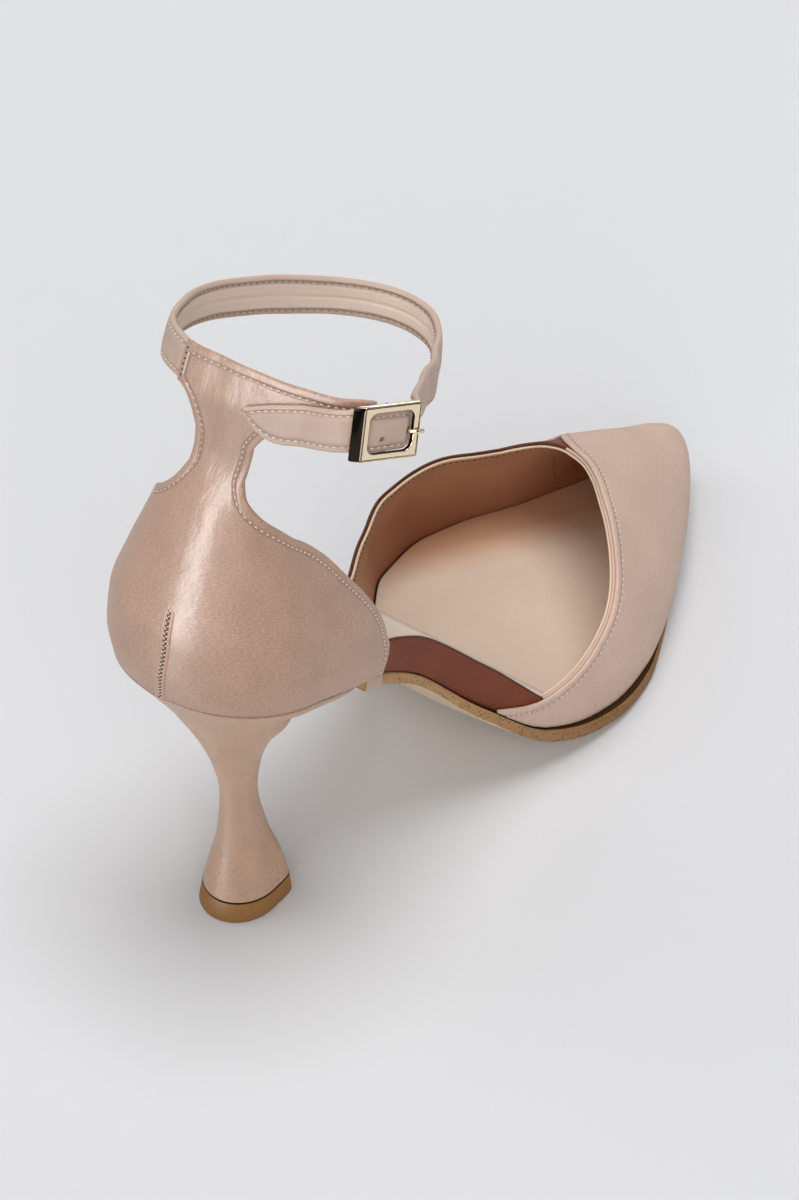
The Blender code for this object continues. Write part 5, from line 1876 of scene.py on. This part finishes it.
class PUMP_OT_back_seam(bpy.types.Operator):
    """Short closed dart up the back of the heel piece"""
    bl_idname = "pump.back_seam"
    bl_label = "Back seam"

    def execute(self, context):
        # Painted highlight: the dart's ridges are paler than the satin; painted shade: its groove
        # is near-black.
        satin = satin_material("dart_satin_painted_highlight", shade(colours().satin, 1.12), 0.45)
        groove = hide_material("dart_groove_painted_shade", shade(colours().lining, 0.3), 0.8)
        runs, heights = np.array(DART_LINE).T
        at = np.linspace(heights[0], heights[-1], 60)
        run = np.interp(at, heights, runs)
        line = skin_point(run, at)
        along = unit(np.gradient(line, axis=0))
        side = unit(skin_point(run + 0.5, at) - skin_point(run - 0.5, at))
        out = unit(np.cross(side, along))
        out *= np.sign(-out[:, :1])
        section = np.array(DART_SECTION)
        fade = np.sqrt(np.maximum(0, (heights[-1] - at) / DART_FADE))
        fade = np.minimum(1, fade)[:, None, None]
        width = DART_END_WIDTH + (1 - DART_END_WIDTH) * fade
        rings = (line[:, None] + side[:, None] * section[None, :, :1] * width
                 + out[:, None] * (section[None, :, 1:] * fade - DART_SINK * (1 - fade)))
        across = np.abs(section[:, 0]) < 0.5
        picks = np.tile((across & np.roll(across, -1) & (section[:, 1] > -0.2)).astype(int),
                        (len(rings) - 1, 1))
        cloth = np.stack((np.broadcast_to(at[:, None], rings.shape[:2]),
                          np.broadcast_to(section[None, :, 0], rings.shape[:2])), axis=-1)
        item = loft("back_seam", rings, (satin, groove), picks, cloth=cloth)
        finish(item, "blush_satin")
        thread = thread_material("dart_thread", colours().thread)
        pitch, swing, length, width = ZIGZAG
        marks = zigzag_points(line + out * THREAD_RISE, out, pitch, swing)
        add_stitches("back_seam_thread", [marks], "blush_satin", thread, length, width)
        return {"FINISHED"}


class PUMP_OT_stage(bpy.types.Operator):
    """Floor, lights and camera"""
    bl_idname = "pump.stage"
    bl_label = "Stage"

    def execute(self, context):
        self.add_floor()
        self.add_lights()
        self.add_camera()
        context.scene.view_settings.view_transform = "Standard"
        return {"FINISHED"}

    @staticmethod
    def add_floor():
        material, shader, tree = new_material("floor_paint", 0.9, specular=0.1)
        cloud = tree.noise(tree.coordinates(), 3.0, 2.0)
        tree.feed(shader.inputs["Base Color"], tree.mottled(cloud, colours().floor, 0.99, 1.01))
        deselect()
        bpy.ops.mesh.primitive_plane_add(size=FLOOR_SIZE)
        floor = bpy.context.active_object
        floor.name = "floor"
        floor.data.materials.append(material)

    @staticmethod
    def add_lights():
        world = bpy.data.worlds.new("studio")
        world.use_nodes = True
        background = world.node_tree.nodes["Background"]
        background.inputs["Color"].default_value = (*WORLD_COLOR, 1)
        background.inputs["Strength"].default_value = WORLD_STRENGTH
        bpy.context.scene.world = world
        for name, at, spread, strength in SOFT_LIGHTS:
            light = bpy.data.lights.new(name, "SUN")
            light.energy = strength
            light.angle = math.radians(spread)
            hang_light(light, at)
        for name, at, width, height, power in STRIPS:
            strip = bpy.data.lights.new(name, "AREA")
            strip.shape = "RECTANGLE"
            strip.size = width
            strip.size_y = height
            strip.energy = power
            hang_light(strip, at).visible_diffuse = False

    @staticmethod
    def add_camera():
        turn, fall, roll = (math.radians(angle) for angle in CAMERA_ANGLES)
        look = Vector((math.cos(turn) * math.cos(fall), math.sin(turn) * math.cos(fall),
                       -math.sin(fall)))
        right = look.cross(Vector((0, 0, 1))).normalized()
        rise = right.cross(look)
        level_right = right * math.cos(roll) + rise * math.sin(roll)
        level_up = rise * math.cos(roll) - right * math.sin(roll)
        at = Vector(place(CAMERA_TARGET)) - look * CAMERA_DISTANCE
        at += level_right * CAMERA_SHIFT[0] + level_up * CAMERA_SHIFT[1]
        matrix = Matrix([level_right, level_up, -look]).transposed().to_4x4()
        matrix.translation = at
        lens = bpy.data.cameras.new("camera")
        lens.lens = CAMERA_LENS
        camera = add_object("camera", lens)
        camera.matrix_world = matrix
        bpy.context.scene.camera = camera


def hang_light(light, at):
    """Put a light in its place, turned to the shoe."""
    item = add_object(light.name, light)
    item.location = at
    item.rotation_euler = (LIGHT_TARGET - Vector(at)).to_track_quat("-Z", "Y").to_euler()
    return item


PIECES = (PUMP_OT_quarter, PUMP_OT_lining, PUMP_OT_counter, PUMP_OT_vamp, PUMP_OT_insole,
          PUMP_OT_outsole, PUMP_OT_heel, PUMP_OT_strap, PUMP_OT_buckle, PUMP_OT_seams,
          PUMP_OT_back_seam, PUMP_OT_stage)


class PUMP_PT_panel(bpy.types.Panel):
    """Every piece of the pump, in the order that it is made"""
    bl_idname = "PUMP_PT_panel"
    bl_label = "Pump"
    bl_space_type = "VIEW_3D"
    bl_region_type = "UI"
    bl_category = "Pump"

    def draw(self, context):
        for group in (context.scene.pump_colours, context.scene.pump_sizes):
            box = self.layout.box()
            for key in group.bl_rna.properties.keys():
                if key not in ("rna_type", "name"):
                    box.prop(group, key)
        for piece in PIECES:
            self.layout.operator(piece.bl_idname)


CLASSES = (PumpColours, PumpSizes, *PIECES, PUMP_PT_panel)


def register():
    for entry in CLASSES:
        bpy.utils.register_class(entry)
    bpy.types.Scene.pump_colours = bpy.props.PointerProperty(type=PumpColours)
    bpy.types.Scene.pump_sizes = bpy.props.PointerProperty(type=PumpSizes)


def unregister():
    del bpy.types.Scene.pump_colours
    del bpy.types.Scene.pump_sizes
    for entry in reversed(CLASSES):
        bpy.utils.unregister_class(entry)


def main():
    register()
    for piece in PIECES:
        group, name = piece.bl_idname.split(".")
        getattr(getattr(bpy.ops, group), name)()


if __name__ == "__main__":
    main()
